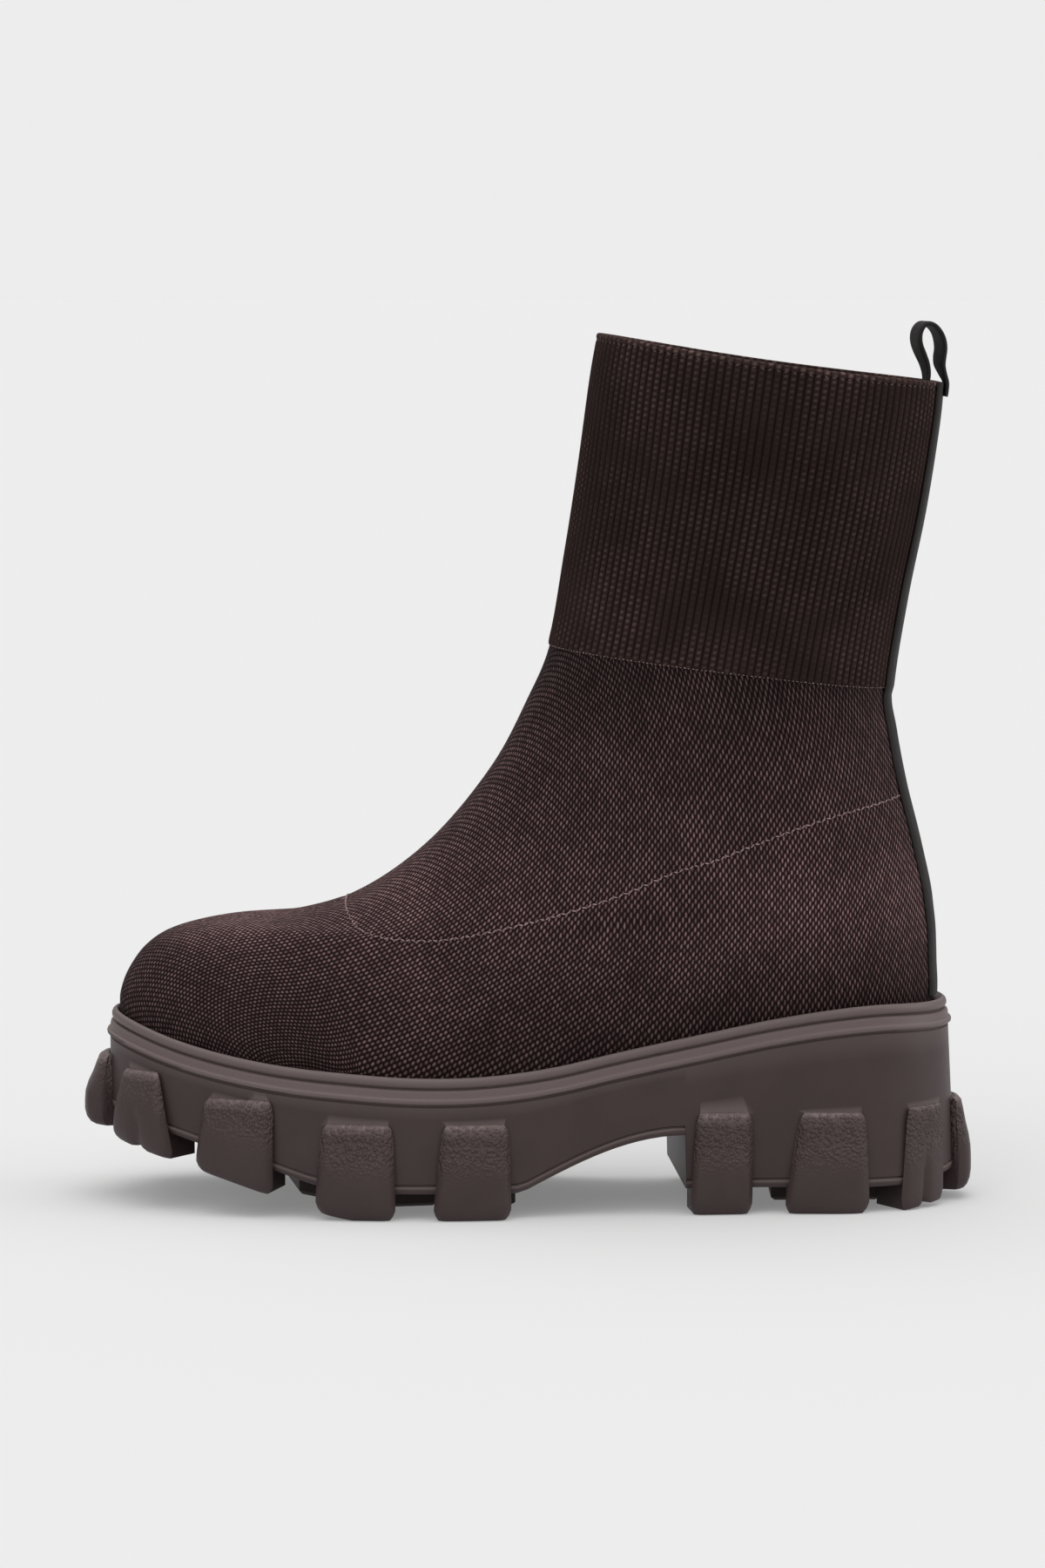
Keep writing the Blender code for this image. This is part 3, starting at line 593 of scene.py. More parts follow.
def foot_ridge():
    """The front and top line of the foot from the side, its length so far and its direction."""
    rows = np.linspace(-1.0, CUFF_ROW + RIDGE_PAST, RIDGE_STEPS)
    line = np.array([surface(row, [0.0], OUTER)[0] for row in rows])
    steps = np.diff(line[:, [0, 2]], axis=0)
    run = np.concatenate(([0.0], np.cumsum(np.linalg.norm(steps, axis=1))))
    turn = np.unwrap(np.arctan2(steps[:, 1], steps[:, 0]))
    return line, run, np.concatenate((turn, turn[-1:]))


def half_widths(grid, rows):
    """How far each point lies beside the middle line, and how far it has come round the back."""
    side = np.abs(grid[:, :, 1] - toe_drift(grid[:, :, 0]))
    round_back = np.zeros_like(side)
    for reach, turned, points, row in zip(side, round_back, grid, rows):
        ring = ring_at(max(row, 0.0))
        turn_x = TOE_X + UPPER_LENGTH * (ring.front + (ring.back - ring.front) * ring.heel_at)
        behind = points[:, 0] > turn_x
        turned[behind] = np.maximum(HEEL_WIDTH * ring.heel - reach[behind], 0.0)
        reach[behind] = HEEL_WIDTH * ring.heel
    return side.ravel(), round_back.ravel()


def toe_places(points, line, run, turn):
    """Near the toe: turn round a place under it, way along the ridge and way down from the ridge."""
    join = int(np.abs(line[:, 0] - TOE_JOIN).argmin())
    up = np.array([-math.sin(turn[join]), math.cos(turn[join])])
    ahead = np.array([-math.cos(turn[join]), -math.sin(turn[join])])
    centre = line[join, [0, 2]] - up * TOE_REACH
    ridge = line[:join + 1, [0, 2]][::-1] - centre
    own = points[:, [0, 2]] - centre
    ridge_turn = np.arctan2(ridge @ ahead, ridge @ up)
    own_turn = np.arctan2(own @ ahead, own @ up)
    down = np.interp(own_turn, ridge_turn, np.linalg.norm(ridge, axis=1)) - np.linalg.norm(own, axis=1)
    along = np.interp(own_turn, ridge_turn, run[:join + 1][::-1]) + down * turn[join]
    return own_turn, along, np.maximum(down, 0.0)


def knit_places(grid, rows):
    """Millimetres along and across the lines of the knit, which run side by side with the ridge."""
    line, run, turn = foot_ridge()
    points = grid.reshape(-1, 3)
    nearest = np.zeros(len(points), int)
    down = np.zeros(len(points))
    for start in range(0, len(points), POINTS_AT_ONCE):
        end = start + POINTS_AT_ONCE
        part = points[start:end]
        away = np.hypot(part[:, None, 0] - line[None, :, 0], part[:, None, 2] - line[None, :, 2])
        nearest[start:end] = away.argmin(1)
        down[start:end] = away.min(1)
    along = run[nearest] + down * turn[nearest]
    toe_turn, toe_along, toe_down = toe_places(points, line, run, turn)
    along = np.where(toe_turn > 0, toe_along, along)
    down = np.where(toe_turn > 0, toe_down, down)
    side, round_back = half_widths(grid, rows)
    across = (down ** SIDE_POWER + side ** SIDE_POWER) ** (1 / SIDE_POWER)
    places = np.stack([along + BACK_SHARE * round_back, across + BACK_SHARE * round_back], -1)
    return (places * 1000).reshape(grid.shape[:2] + (2,))


def on_side(spot, side):
    """Point on the upper's side at a place along and up."""
    low, high = 0.0, float(CUFF_ROW)
    for _ in range(HALVINGS):
        row = (low + high) / 2
        ring = ring_at(row)
        a = (share_of_length(spot.along) - ring.front) / (ring.back - ring.front)
        if a > 0 and ring_profile(ring, row, min(a, 1.0))[1] < spot.up:
            low = row
        else:
            high = row
    return surface(low, [limited(a)], side)[0]


def side_line(spots, side, pace):
    """Line through spots on one side of the upper, at even steps."""
    places = np.arange(len(spots))
    fine = np.linspace(0, places[-1], SPOT_STEPS * len(spots))
    shown = SmoothLine(places, spots).at
    line = np.array([on_side(Spot(*shown(place)), side) for place in fine])
    length = np.linalg.norm(np.diff(line, axis=0), axis=1).sum()
    return even_line(line, np.linspace(0, 1, max(int(length / pace), 2)))


def sink(grid, normals, line, depth, spread):
    """Soft trough along a line. It ends softly, as the line's own ends are passed."""
    points = grid.reshape(-1, 3)
    away = np.full(len(points), 1e3)
    for spot in line:
        away = np.minimum(away, np.linalg.norm(points - spot, axis=1))
    fall = depth * np.exp(-(away / spread) ** 2)
    return grid - normals * fall.reshape(grid.shape[:2] + (1,))


def mark(piece, name, values):
    """Puts a number on each point of a piece, for its material."""
    layer = piece.data.attributes.new(name, "FLOAT", "POINT")
    layer.data.foreach_set("value", np.asarray(values, np.float32).ravel())


def tone_at(tones, places):
    return np.interp(places, [t.place for t in tones], [t.tone for t in tones])


def foot_skin():
    """Rows, points and outward directions of the foot up to the cuff."""
    rows = np.linspace(-1.0, CUFF_ROW + FOOT_PAST, FOOT_RINGS)
    rings = [ring_and_normals(row, FOOT_STATIONS) for row in rows]
    return rows, np.array([line for line, normals in rings]), np.array([normals for line, normals in rings])


def build_foot(skin, material):
    """The knitted foot up to the cuff, with its seam and soft creases, as one closed wall, with painted light
    and shade on its points.
    """
    rows, grid, normals = skin
    outside = grid
    for side in (OUTER, INNER):
        seam = side_line(FOOT_SEAM, side, SEAM_STITCH)
        outside = sink(outside, normals, seam, SEAM_DEPTH, SEAM_SPREAD)
        for crease in CREASES:
            line = side_line([crease.start, crease.end], side, SEAM_STITCH)
            outside = sink(outside, normals, line, crease.depth, crease.spread)
    inside = grid - normals * WALL
    wall = np.concatenate([outside, inside[::-1]])
    places = wrapped(knit_places(grid, rows))
    places = np.concatenate([places, places[::-1]])
    piece = closed_wall("upper_foot", wall, places, material)
    # the points' tone is painted light and shade: darker near the rim and under the cuff, lighter on the
    # middle rows
    up = np.interp(rows, range(len(FOOT_PAINTED_LIGHT_SHADE)), FOOT_PAINTED_LIGHT_SHADE)[:, None]
    tone = up * tone_at(LENGTH_PAINTED_LIGHT_SHADE, share_of_length(grid[:, :, 0]))
    mark(piece, "tone", np.concatenate([tone, tone[::-1]]))
    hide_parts("upper")
    return piece


def build_cuff(material):
    """The ribbed cuff with a folded hem, as one closed wall that starts over the foot's edge."""
    middle = [Fold(row, CUFF_STEP, 1.0) for row in np.linspace(CUFF_FIRST, CUFF_LAST, CUFF_RINGS)]
    folds = CUFF_FOOT + middle + CUFF_HEM
    stations = RIBS * RIB_STEPS
    turn = np.arange(2 * stations) % RIB_STEPS / RIB_STEPS
    ribs = (np.sin(math.pi * turn) ** RIB_SHARP - 0.5) * RIB_HEIGHT
    wall = []
    height = []
    for fold in folds:
        line, normals = ring_and_normals(fold.row, stations)
        wall.append(line + normals * (fold.out + fold.ribs * ribs)[:, None])
        height.append(line[:, 2])
    wall = np.array(wall)
    up = wrapped(np.array(height)[:, :, None] * 1000)
    rib_count = np.broadcast_to(np.arange(2 * stations + 1) / RIB_STEPS, up.shape[:2])
    places = np.concatenate([up, rib_count[:, :, None]], 2)
    piece = closed_wall("upper_cuff", wall, places, material)
    # the points' tone is painted light and shade: lighter at the cuff's lower edge, its hem, its front and
    # its back end
    up = tone_at(CUFF_PAINTED_LIGHT_SHADE, np.array([fold.row for fold in folds]))[:, None]
    mark(piece, "tone", up * tone_at(CUFF_LENGTH_PAINTED_LIGHT_SHADE, share_of_length(wall[:, :, 0])))
    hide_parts("upper")
    return piece


def stitch_shape():
    """Small oval: its points in shares of its own half size, and its faces."""
    sides, levels = STITCH_SIDES, STITCH_LEVELS
    points = [(-1.0, 0.0, 0.0)]
    for i in range(1, levels):
        turn = math.pi * i / levels
        for j in range(sides):
            spin = 2 * math.pi * j / sides
            points.append((-math.cos(turn), math.sin(turn) * math.cos(spin), math.sin(turn) * math.sin(spin)))
    points.append((1.0, 0.0, 0.0))
    last = len(points) - 1
    faces = [(0, 1 + (j + 1) % sides, 1 + j) for j in range(sides)]
    for i in range(levels - 2):
        base = 1 + i * sides
        for j in range(sides):
            on = (j + 1) % sides
            faces.append((base + j, base + on, base + sides + on, base + sides + j))
    base = 1 + (levels - 2) * sides
    faces += [(last, base + j, base + (j + 1) % sides) for j in range(sides)]
    return np.array(points), faces


def build_stitches(name, line, normals, stitch, material):
    """Row of small stitches along a line, each turned a little to one side and the next one back."""
    shape, shape_faces = stitch_shape()
    along = unit(np.gradient(line, axis=0))
    points, faces = [], []
    for i, (spot, out, ahead) in enumerate(zip(line, normals, along)):
        across = np.cross(out, ahead)
        lean = math.radians(stitch.tilt) * (1 if i % 2 else -1)
        first = ahead * math.cos(lean) + across * math.sin(lean)
        second = np.cross(out, first)
        base = len(points) * len(shape)
        body = shape[:, :1] * stitch.long * first + shape[:, 1:2] * stitch.wide * second
        points.append(spot + out * stitch.lift + body + shape[:, 2:] * stitch.high * out)
        faces += [tuple(base + v for v in face) for face in shape_faces]
    piece = make_piece(name, np.concatenate(points), faces, material)
    return piece


def normals_near(line, skin):
    """The skin's outward directions next to the points of a line."""
    points, normals = skin[1].reshape(-1, 3), skin[2].reshape(-1, 3)
    return np.array([normals[np.linalg.norm(points - spot, axis=1).argmin()] for spot in line])


def build_all_stitches(skin, material, seam_material):
    """Thread over the hem, round the border of the cuff and along the seam of the foot."""
    line, normals = ring_and_normals(HEM_ROW, RIBS * 2)
    runs = [("hem_stitches", line[1::2], normals[1::2], HEM_STITCH, material)]
    line, normals = ring_and_normals(CUFF_ROW - BORDER_BELOW, BORDER_COUNT)
    runs.append(("border_stitches", line, normals, BORDER_STITCH, seam_material))
    for side, name in ((OUTER, "foot_seam_outer"), (INNER, "foot_seam_inner")):
        line = side_line(FOOT_SEAM, side, SEAM_STITCH)
        runs.append((name, line, normals_near(line, skin), FOOT_STITCH, seam_material))
    return [build_stitches(*run) for run in runs]


def back_points(row, across):
    """Points on the back of the upper at distances across from its middle line."""
    ring = ring_at(row)
    heel = HEEL_WIDTH * ring.heel
    reach = np.sqrt(np.clip(1 - (np.abs(across) / heel) ** HEEL_FULL, 0.0, 1.0))
    a = ring.heel_at + (1 - ring.heel_at) * reach
    outer = surface(row, a, OUTER)
    inner = surface(row, a, INNER)
    return np.where((across < 0)[:, None], outer, inner)


def strap_mesh(name, under, over, ahead_places, material):
    """Closed band between two grids: steps along, places across."""
    band = np.concatenate([under, over[:, ::-1]], 1)
    steps, count = band.shape[:2]
    faces = grid_faces(steps, count, False, True).tolist()
    half = count // 2
    for i in (0, (steps - 1) * count):
        for j in range(half - 1):
            corners = [i + j, i + j + 1, i + count - 2 - j, i + count - 1 - j]
            faces.append(corners if i else corners[::-1])
    across = np.concatenate([np.arange(half), np.arange(half)[::-1]]) / (half - 1)
    places = [(across[v % count], ahead_places[v // count]) for face in faces for v in face]
    return make_piece(name, band.reshape(-1, 3), faces, material, places, STRAP_SHARP)


def build_tape(material):
    """Woven tape up the back, from the rim to the collar."""
    rows = np.linspace(TAPE_START, COLLAR_ROW - TAPE_STOP, TAPE_RINGS)
    across = np.array(TAPE_ACROSS) * TAPE_WIDTH * TAPE_SPREAD
    thick = np.array(TAPE_SECTION) * TAPE_THICK
    grid = np.array([back_points(row, across) for row in rows])
    normals = unit(np.cross(np.gradient(grid, axis=1), np.gradient(grid, axis=0)))
    climb = eased(np.clip((rows - CUFF_ROW + TAPE_CLIMB) / TAPE_CLIMB_ROWS, 0.0, 1.0))
    lift = GAP + (CUFF_STEP + RIB_HEIGHT / 2) * climb
    under = grid + normals * lift[:, None, None]
    over = under + normals * thick[None, :, None]
    run = grid[:, len(TAPE_ACROSS) // 2, 2] * 1000
    piece = strap_mesh("heel_tape", under, over, run, material)
    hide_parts("back_tape")
    return piece


def build_loop(material):
    """Short loop of strap above the back of the collar, a little twisted."""
    collar = back_points(COLLAR_ROW, np.array([0.0]))[0]
    places = np.arange(len(STRAP_PATH))
    t = np.linspace(0, 1, STRAP_STEPS)
    path = SmoothLine(places, STRAP_PATH)
    back, up, turn = np.array([path.at(place) for place in t * places[-1]]).T
    up = up * STRAP_RISE
    turn = np.radians(turn)
    across = np.array(STRAP_ACROSS) * LOOP_WIDTH
    thick = np.array(STRAP_SECTION) * LOOP_THICK / 2
    middle = np.stack([back, np.zeros_like(back), up], -1)
    ahead = unit(np.gradient(middle, axis=0))
    wide = np.stack([np.sin(turn), np.cos(turn), np.zeros_like(turn)], -1)
    out = unit(np.cross(wide, ahead))
    grid = collar + middle[:, None, :] + wide[:, None, :] * across[None, :, None]
    shift = out[:, None, :] * thick[None, :, None]
    run = np.concatenate(([0.0], np.cumsum(np.linalg.norm(np.diff(middle, axis=0), axis=1)))) * 1000
    piece = strap_mesh("pull_strap", grid - shift, grid + shift, run, material)
    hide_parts("pull_loop")
    return piece


# Sole

def heel_share(x):
    """0 in front of the heel, rising smoothly to 1 behind it."""
    return eased(limited((share_of_length(x) - SHELF_START) / (1 - SHELF_START)))


def wall_out(x):
    """How far the lower edge of the wall stands beyond the foot line."""
    return WALL_OUT + (HEEL_SHELF + HEEL_FLARE) * heel_share(x)


def wall_bottom(x, share, breast, in_front):
    """Height of the lower edge of the wall: under the forefoot, along the arch, round the heel."""
    if not in_front or share < ARCH_START:
        return LUG_DEPTH + tread_height(x)
    along = (share - ARCH_START) / (breast - ARCH_START)
    return LUG_DEPTH + (ARCH_HEIGHT - LUG_DEPTH) * math.sin(math.pi / 2 * along)


def sole_stations():
    """Shares of each side's line, with a pair close together at the heel breast."""
    front = [(i / SOLE_FRONT) ** TOE_CROWDING for i in range(SOLE_FRONT + 1)]
    back = [math.sin(math.pi / 2 * i / SOLE_BACK) for i in range(SOLE_BACK + 1)]
    stations = [(BREAST_OUTER * t, BREAST_INNER * t, True) for t in front]
    outer = BREAST_OUTER + BREAST_STEP
    inner = BREAST_INNER + BREAST_STEP
    stations += [(outer + (1 - outer) * t, inner + (1 - inner) * t, False) for t in back]
    return stations


def sole_spots():
    """Per station and side: place on the foot line, its x, and the two heights of the wall."""
    spots = {OUTER: [], INNER: []}
    for outer_share, inner_share, in_front in sole_stations():
        sides = ((OUTER, outer_share, BREAST_OUTER), (INNER, inner_share, BREAST_INNER))
        for side, share, breast in sides:
            x = outline(side * share, 0.0).x
            low = wall_bottom(x, share, breast, in_front)
            spots[side].append((side * share, x, float(rim_height(x)), low))
    return spots[OUTER] + spots[INNER][-2:0:-1]


def sole_grid():
    """The rings of the sole from its bed over the rim and down the wall."""
    rings = [[] for _ in range(len(FINE_RIM) + WALL_RINGS + len(FINE_WALL))]
    for place, x, rim, low in sole_spots():
        column = []
        for step in FINE_RIM:
            shelf = HEEL_SHELF * heel_share(x) if step.out > GAP else 0.0
            column.append((step.out + shelf, rim + step.up))
        lower = [(s.out + (HEEL_SHELF + HEEL_FLARE) * heel_share(x), low + s.up) for s in FINE_WALL]
        start, end = column[-1], lower[0]
        for k in range(1, WALL_RINGS + 1):
            t = k / (WALL_RINGS + 1)
            column.append((start[0] + (end[0] - start[0]) * t, start[1] + (end[1] - start[1]) * t))
        for ring, (out, height) in zip(rings, column + lower):
            spot = outline(place, out)
            ring.append((spot.x, spot.y, height))
    return np.array(rings)


def across_faces(start, count):
    """Strips from the outer to the inner side that close a ring whose first point has this number."""
    faces = []
    for i in range(count // 2):
        corners = [start + i, start + i + 1, start + (-i - 1) % count, start + (-i) % count]
        faces.append([v for k, v in enumerate(corners) if v not in corners[:k]])
    return faces


def lug_column(lug, side, t, top_z, notched):
    """Section of a lug at the share t along it, from its upper edge round to the inside."""
    ends = 1 - LUG_END_ROUND * max(1 - min(t, 1 - t) / LUG_END_SHARE, 0.0) ** LUG_END_POWER
    ends -= LUG_PILLOW * (2 * t - 1) ** 2
    notch = NOTCH_DEPTH * math.exp(-((t - 0.5) / NOTCH_SPREAD) ** 2) if notched else 0.0
    points = []
    for slope in FINE_LUG:
        corner = LUG_LOW_CORNER * limited((slope.down - LOW_CORNER_FROM) / (1 - LOW_CORNER_FROM)) ** 2
        corner += LUG_HIGH_CORNER * limited(1 - slope.down / HIGH_CORNER_TO) ** 2
        inner_t = 0.5 + (t - 0.5) * (1 - 2 * corner)
        top = lug.top_start + (lug.top_end - lug.top_start) * inner_t
        low = lug.low_start + (lug.low_end - lug.low_start) * inner_t
        foot = tread_height(outline(side * low, lug.reach / 2).x)
        place = side * (top + (low - top) * slope.down)
        wall = wall_out(outline(place, 0.0).x)
        cut = notch * limited((slope.down - NOTCH_FROM) / NOTCH_FADE)
        spot = outline(place, wall + (lug.reach - wall) * slope.reach * ends - cut)
        lift = notch * NOTCH_LIFT * limited((slope.down - NOTCH_LIFT_FROM) / (1 - NOTCH_LIFT_FROM))
        points.append((spot.x, spot.y, top_z + (foot - top_z) * slope.down + lift))
    under = outline(side * low, -LUG_INWARD * lug.inward)
    points.append((under.x, under.y, foot))
    points.append((under.x, under.y, foot + LUG_DEPTH + LUG_ROOT))
    inside = outline(side * top, 0.0)
    points.append((inside.x, inside.y, top_z - LUG_ROOT))
    return points


def cutter(cutters, name, points, faces, material):
    """Closed block that is joined to the sole and then removed."""
    block = make_piece(name, points, faces, material)
    bpy.context.scene.collection.objects.unlink(block)
    cutters.objects.link(block)
    return block


def add_lug(cutters, name, lug, side, notched, material):
    middle = outline(side * (lug.low_start + lug.low_end) / 2, 0.0)
    top_z = tread_height(middle.x) + lug.height
    columns = [lug_column(lug, side, t, top_z, notched) for t in LUG_SHARES]
    count = len(columns[0])
    faces = grid_faces(len(columns), count, False, True).tolist()
    faces.append(list(range(count))[::-1])
    last = (len(columns) - 1) * count
    faces.append([last + k for k in range(count)])
    if side == INNER:
        faces = [face[::-1] for face in faces]
    return cutter(cutters, name, np.array(columns).reshape(-1, 3), faces, material)


def add_bar(cutters, name, bar, material):
    """One bar in the middle of the tread, with its lower edge taken off all round."""
    middle = TOE_X + UPPER_LENGTH * bar.along
    turn = math.radians(bar.turn)
    points = []
    for inset, up in ((BAR_BEVEL, 0.0), (0.0, BAR_BEVEL_UP), (0.0, BAR_HEIGHT)):
        for side_x, side_y in ((-1, -1), (1, -1), (1, 1), (-1, 1)):
            along = side_x * (bar.length / 2 - inset)
            across = side_y * (bar.width / 2 - inset)
            x = middle + along * math.cos(turn) - across * math.sin(turn)
            y = bar.across + toe_drift(middle) + along * math.sin(turn) + across * math.cos(turn)
            points.append((x, y, tread_height(x) + up))
    faces = grid_faces(3, 4, False, True).tolist() + [[3, 2, 1, 0], [8, 9, 10, 11]]
    cutter(cutters, name, points, faces, material)


def build_sole(rubber, lug_rubber):
    """Rim, wall, arch and heel as one loft, with lugs and bars joined on."""
    grid = sole_grid()
    count = grid.shape[1]
    faces = grid_faces(grid.shape[0], count, False, True)[:, ::-1].tolist()
    faces += across_faces(0, count)
    faces += [face[::-1] for face in across_faces((grid.shape[0] - 1) * count, count)]
    body = make_piece("sole_loft", grid.reshape(-1, 3), faces, rubber)
    body.data.materials.append(lug_rubber)
    cutters = bpy.data.collections.new("lug_blocks")
    bpy.context.scene.collection.children.link(cutters)
    for i, lug in enumerate(SIDE_LUGS):
        for side, name in ((OUTER, "outer"), (INNER, "inner")):
            add_lug(cutters, f"lug_{name}_{i}", lug, side, i in NOTCHED, lug_rubber)
    add_lug(cutters, "lug_toe", TOE_LUG, OUTER, False, lug_rubber)
    add_lug(cutters, "lug_rear", REAR_LUG, OUTER, False, lug_rubber)
    for i, bar in enumerate(TREAD_BARS):
        add_bar(cutters, f"bar_{i}", bar, lug_rubber)
    union = body.modifiers.new("Lugs", "BOOLEAN")
    union.operation = "UNION"
    union.operand_type = "COLLECTION"
    union.collection = cutters
    union.solver = "EXACT"
    union.material_mode = "TRANSFER"
    joined = bpy.data.meshes.new_from_object(body.evaluated_get(bpy.context.evaluated_depsgraph_get()))
    for block in list(cutters.objects) + [body]:
        bpy.data.objects.remove(block, do_unlink=True)
    bpy.data.collections.remove(cutters)
    piece = bpy.data.objects.new("sole_body", joined)
    bpy.context.scene.collection.objects.link(piece)
    joined.shade_smooth()
    joined.set_sharp_from_angle(angle=math.radians(SOLE_SHARP))
    mark_grain(joined)
    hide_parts("sole")
    return piece


def mark_grain(mesh):
    """Share of the pebble grain on each point, on the lugs' upper halves alone, and of the painted light on
    faces that look up and on the rim.
    """
    on_lug = np.zeros(len(mesh.vertices), bool)
    for face in mesh.polygons:
        if mesh.materials[face.material_index].name == "lug_rubber":
            for v in face.vertices:
                on_lug[v] = True
    grain = []
    for v, lug in zip(mesh.vertices, on_lug):
        up = (v.co.z - tread_height(v.co.x)) / LUG_HEIGHT
        grain.append(eased(limited((up - GRAIN_LOW) / (GRAIN_HIGH - GRAIN_LOW))) if lug else 0.0)
    mesh.attributes.new("grain", "FLOAT", "POINT").data.foreach_set("value", grain)
    # painted light on points whose faces look up, and on the whole rim band
    up = np.array([v.normal.z for v in mesh.vertices])
    painted_light = np.clip((up - PAINTED_LIGHT_LOW) / (PAINTED_LIGHT_HIGH - PAINTED_LIGHT_LOW), 0.0, 1.0)
    on_rim = np.array([v.co.z > rim_height(v.co.x) - RIM_BAND for v in mesh.vertices])
    painted_light = np.where(on_rim, np.maximum(painted_light, RIM_PAINTED_LIGHT), painted_light)
    mesh.attributes.new("painted_light", "FLOAT", "POINT").data.foreach_set("value", painted_light.astype(np.float32))


# Materials

def feed(tree, made, *values):
    """Links sockets to the node's inputs, or sets plain values."""
    for key, value in values:
        if isinstance(value, bpy.types.NodeSocket):
            tree.links.new(value, made.inputs[key])
        else:
            made.inputs[key].default_value = value
    return made


def node(tree, kind, *values):
    return feed(tree, tree.nodes.new(kind), *values)


def maths(tree, operation, *values):
    made = tree.nodes.new("ShaderNodeMath")
    made.operation = operation
    return feed(tree, made, *enumerate(values)).outputs[0]


def mapped(tree, value, low, high, to_low=0.0, to_high=1.0):
    """Value moved smoothly from one range to another."""
    made = tree.nodes.new("ShaderNodeMapRange")
    made.interpolation_type = "SMOOTHSTEP"
    feed(tree, made, ("Value", value), ("From Min", low), ("From Max", high))
    return feed(tree, made, ("To Min", to_low), ("To Max", to_high)).outputs["Result"]


def blend(tree, share, first, second):
    made = tree.nodes.new("ShaderNodeMix")
    made.data_type = "RGBA"
    return feed(tree, made, (0, share), (6, first), (7, second)).outputs[2]


def shade(tree, color, factor):
    """Colour times a number."""
    made = tree.nodes.new("ShaderNodeVectorMath")
    made.operation = "SCALE"
    start = color if isinstance(color, bpy.types.NodeSocket) else color[:3]
    return feed(tree, made, (0, start), ("Scale", factor)).outputs[0]


def noise(tree, scale, detail=3.0):
    place = node(tree, "ShaderNodeTexCoord").outputs["Object"]
    made = node(tree, "ShaderNodeTexNoise", ("Vector", place), ("Scale", scale), ("Detail", detail))
    return made.outputs["Fac"]


def blank(name, roughness, specular=0.5):
    """Material with its shader, both new."""
    material = bpy.data.materials.new(name)
    material.use_nodes = True
    tree = material.node_tree
    shader = tree.nodes["Principled BSDF"]
    shader.inputs["Roughness"].default_value = roughness
    shader.inputs["Specular IOR Level"].default_value = specular
    return material, tree, shader


def finish(tree, shader, tone, height, distance):
    """Gives the shader its colour and its relief."""
    bump = node(tree, "ShaderNodeBump", ("Height", height), ("Distance", distance), ("Strength", 1.0))
    feed(tree, shader, ("Base Color", tone), ("Normal", bump.outputs[0]))


def fabric_place(tree):
    """The two numbers of the piece's texture place."""
    place = node(tree, "ShaderNodeUVMap")
    place.uv_map = OUTER_UV
    return node(tree, "ShaderNodeSeparateXYZ", (0, place.outputs[0])).outputs


def cloudy(tree, scale, low, high, detail=3.0):
    """Soft clouds between two values."""
    return mapped(tree, noise(tree, scale, detail), CLOUD_LOW, CLOUD_HIGH, low, high)


def knit_cells(tree, pitch_along, pitch_across):
    """Round dots of a knit, and a number of its own for each: from the piece's texture places."""
    place = fabric_place(tree)
    line = maths(tree, "DIVIDE", place[1], pitch_across)
    index = maths(tree, "FLOOR", line)
    shift = maths(tree, "MULTIPLY", maths(tree, "FLOORED_MODULO", index, 2.0), STAGGER)
    stitch = maths(tree, "ADD", maths(tree, "DIVIDE", place[0], pitch_along), shift)
    along = maths(tree, "SUBTRACT", maths(tree, "FRACT", stitch), 0.5)
    across = maths(tree, "SUBTRACT", maths(tree, "FRACT", line), 0.5)
    own = node(tree, "ShaderNodeCombineXYZ", (0, maths(tree, "FLOOR", stitch)), (1, index))
    vary = node(tree, "ShaderNodeTexWhiteNoise", ("Vector", own.outputs[0])).outputs["Value"]
    return along, across, vary


def dot_of(tree, along, across, long_half, wide_half):
    """1 in the middle of a stitch, 0 in the gap between stitches."""
    squares = []
    for way, half in ((along, long_half), (across, wide_half)):
        share = maths(tree, "DIVIDE", maths(tree, "ABSOLUTE", way), half)
        squares.append(maths(tree, "POWER", share, 2.0))
    away = maths(tree, "SQRT", maths(tree, "ADD", *squares))
    return mapped(tree, away, 1.0, 0.25)


def marked(tree, name):
    """The number that a piece carries on its points under this name."""
    made = tree.nodes.new("ShaderNodeAttribute")
    made.attribute_name = name
    return made.outputs["Fac"]


def color(red, green, blue):
    return (red, green, blue, 1.0)


# Scales of the surfaces' soft clouds and of their fine fuzz, per metre
KNIT_CLOUDS = 38.0
CUFF_CLOUDS = 60.0
THREAD_CLOUDS = 500.0
STRAP_CLOUDS = 90.0
RUBBER_CLOUDS = 70.0
INSOLE_CLOUDS = 900.0
CUFF_FUZZ = 2500.0
THREAD_FUZZ = 6000.0
RUBBER_FUZZ = 1800.0
INSOLE_FUZZ = 1500.0
PEBBLE_SCALE = 900.0
CLOUD_LOW = 0.3  # values of the noise between which a cloud fades
CLOUD_HIGH = 0.7

# Colours, and the depth of each surface's relief in metres
KNIT_GROUND = color(0.0120, 0.0052, 0.0052)
KNIT_YARN = color(0.165, 0.100, 0.100)
KNIT_DOT = (0.47, 0.45)  # half a stitch along and across, as shares of its cell
KNIT_SHADES = (0.66, 1.30)  # the stitches' own shades
KNIT_RELIEF = 0.00025
STAGGER = 0.5  # each line's stitches are shifted by this share beside the next one's
TOE_PAINTED_LIGHT = 1.75  # the toe's top is this much lighter: painted light from above
TOE_PAINTED_LIGHT_X = (-0.055, -0.100)
TOE_PAINTED_LIGHT_Z = (0.075, 0.098)
CUFF_CLOTH = color(0.0195, 0.0118, 0.0106)
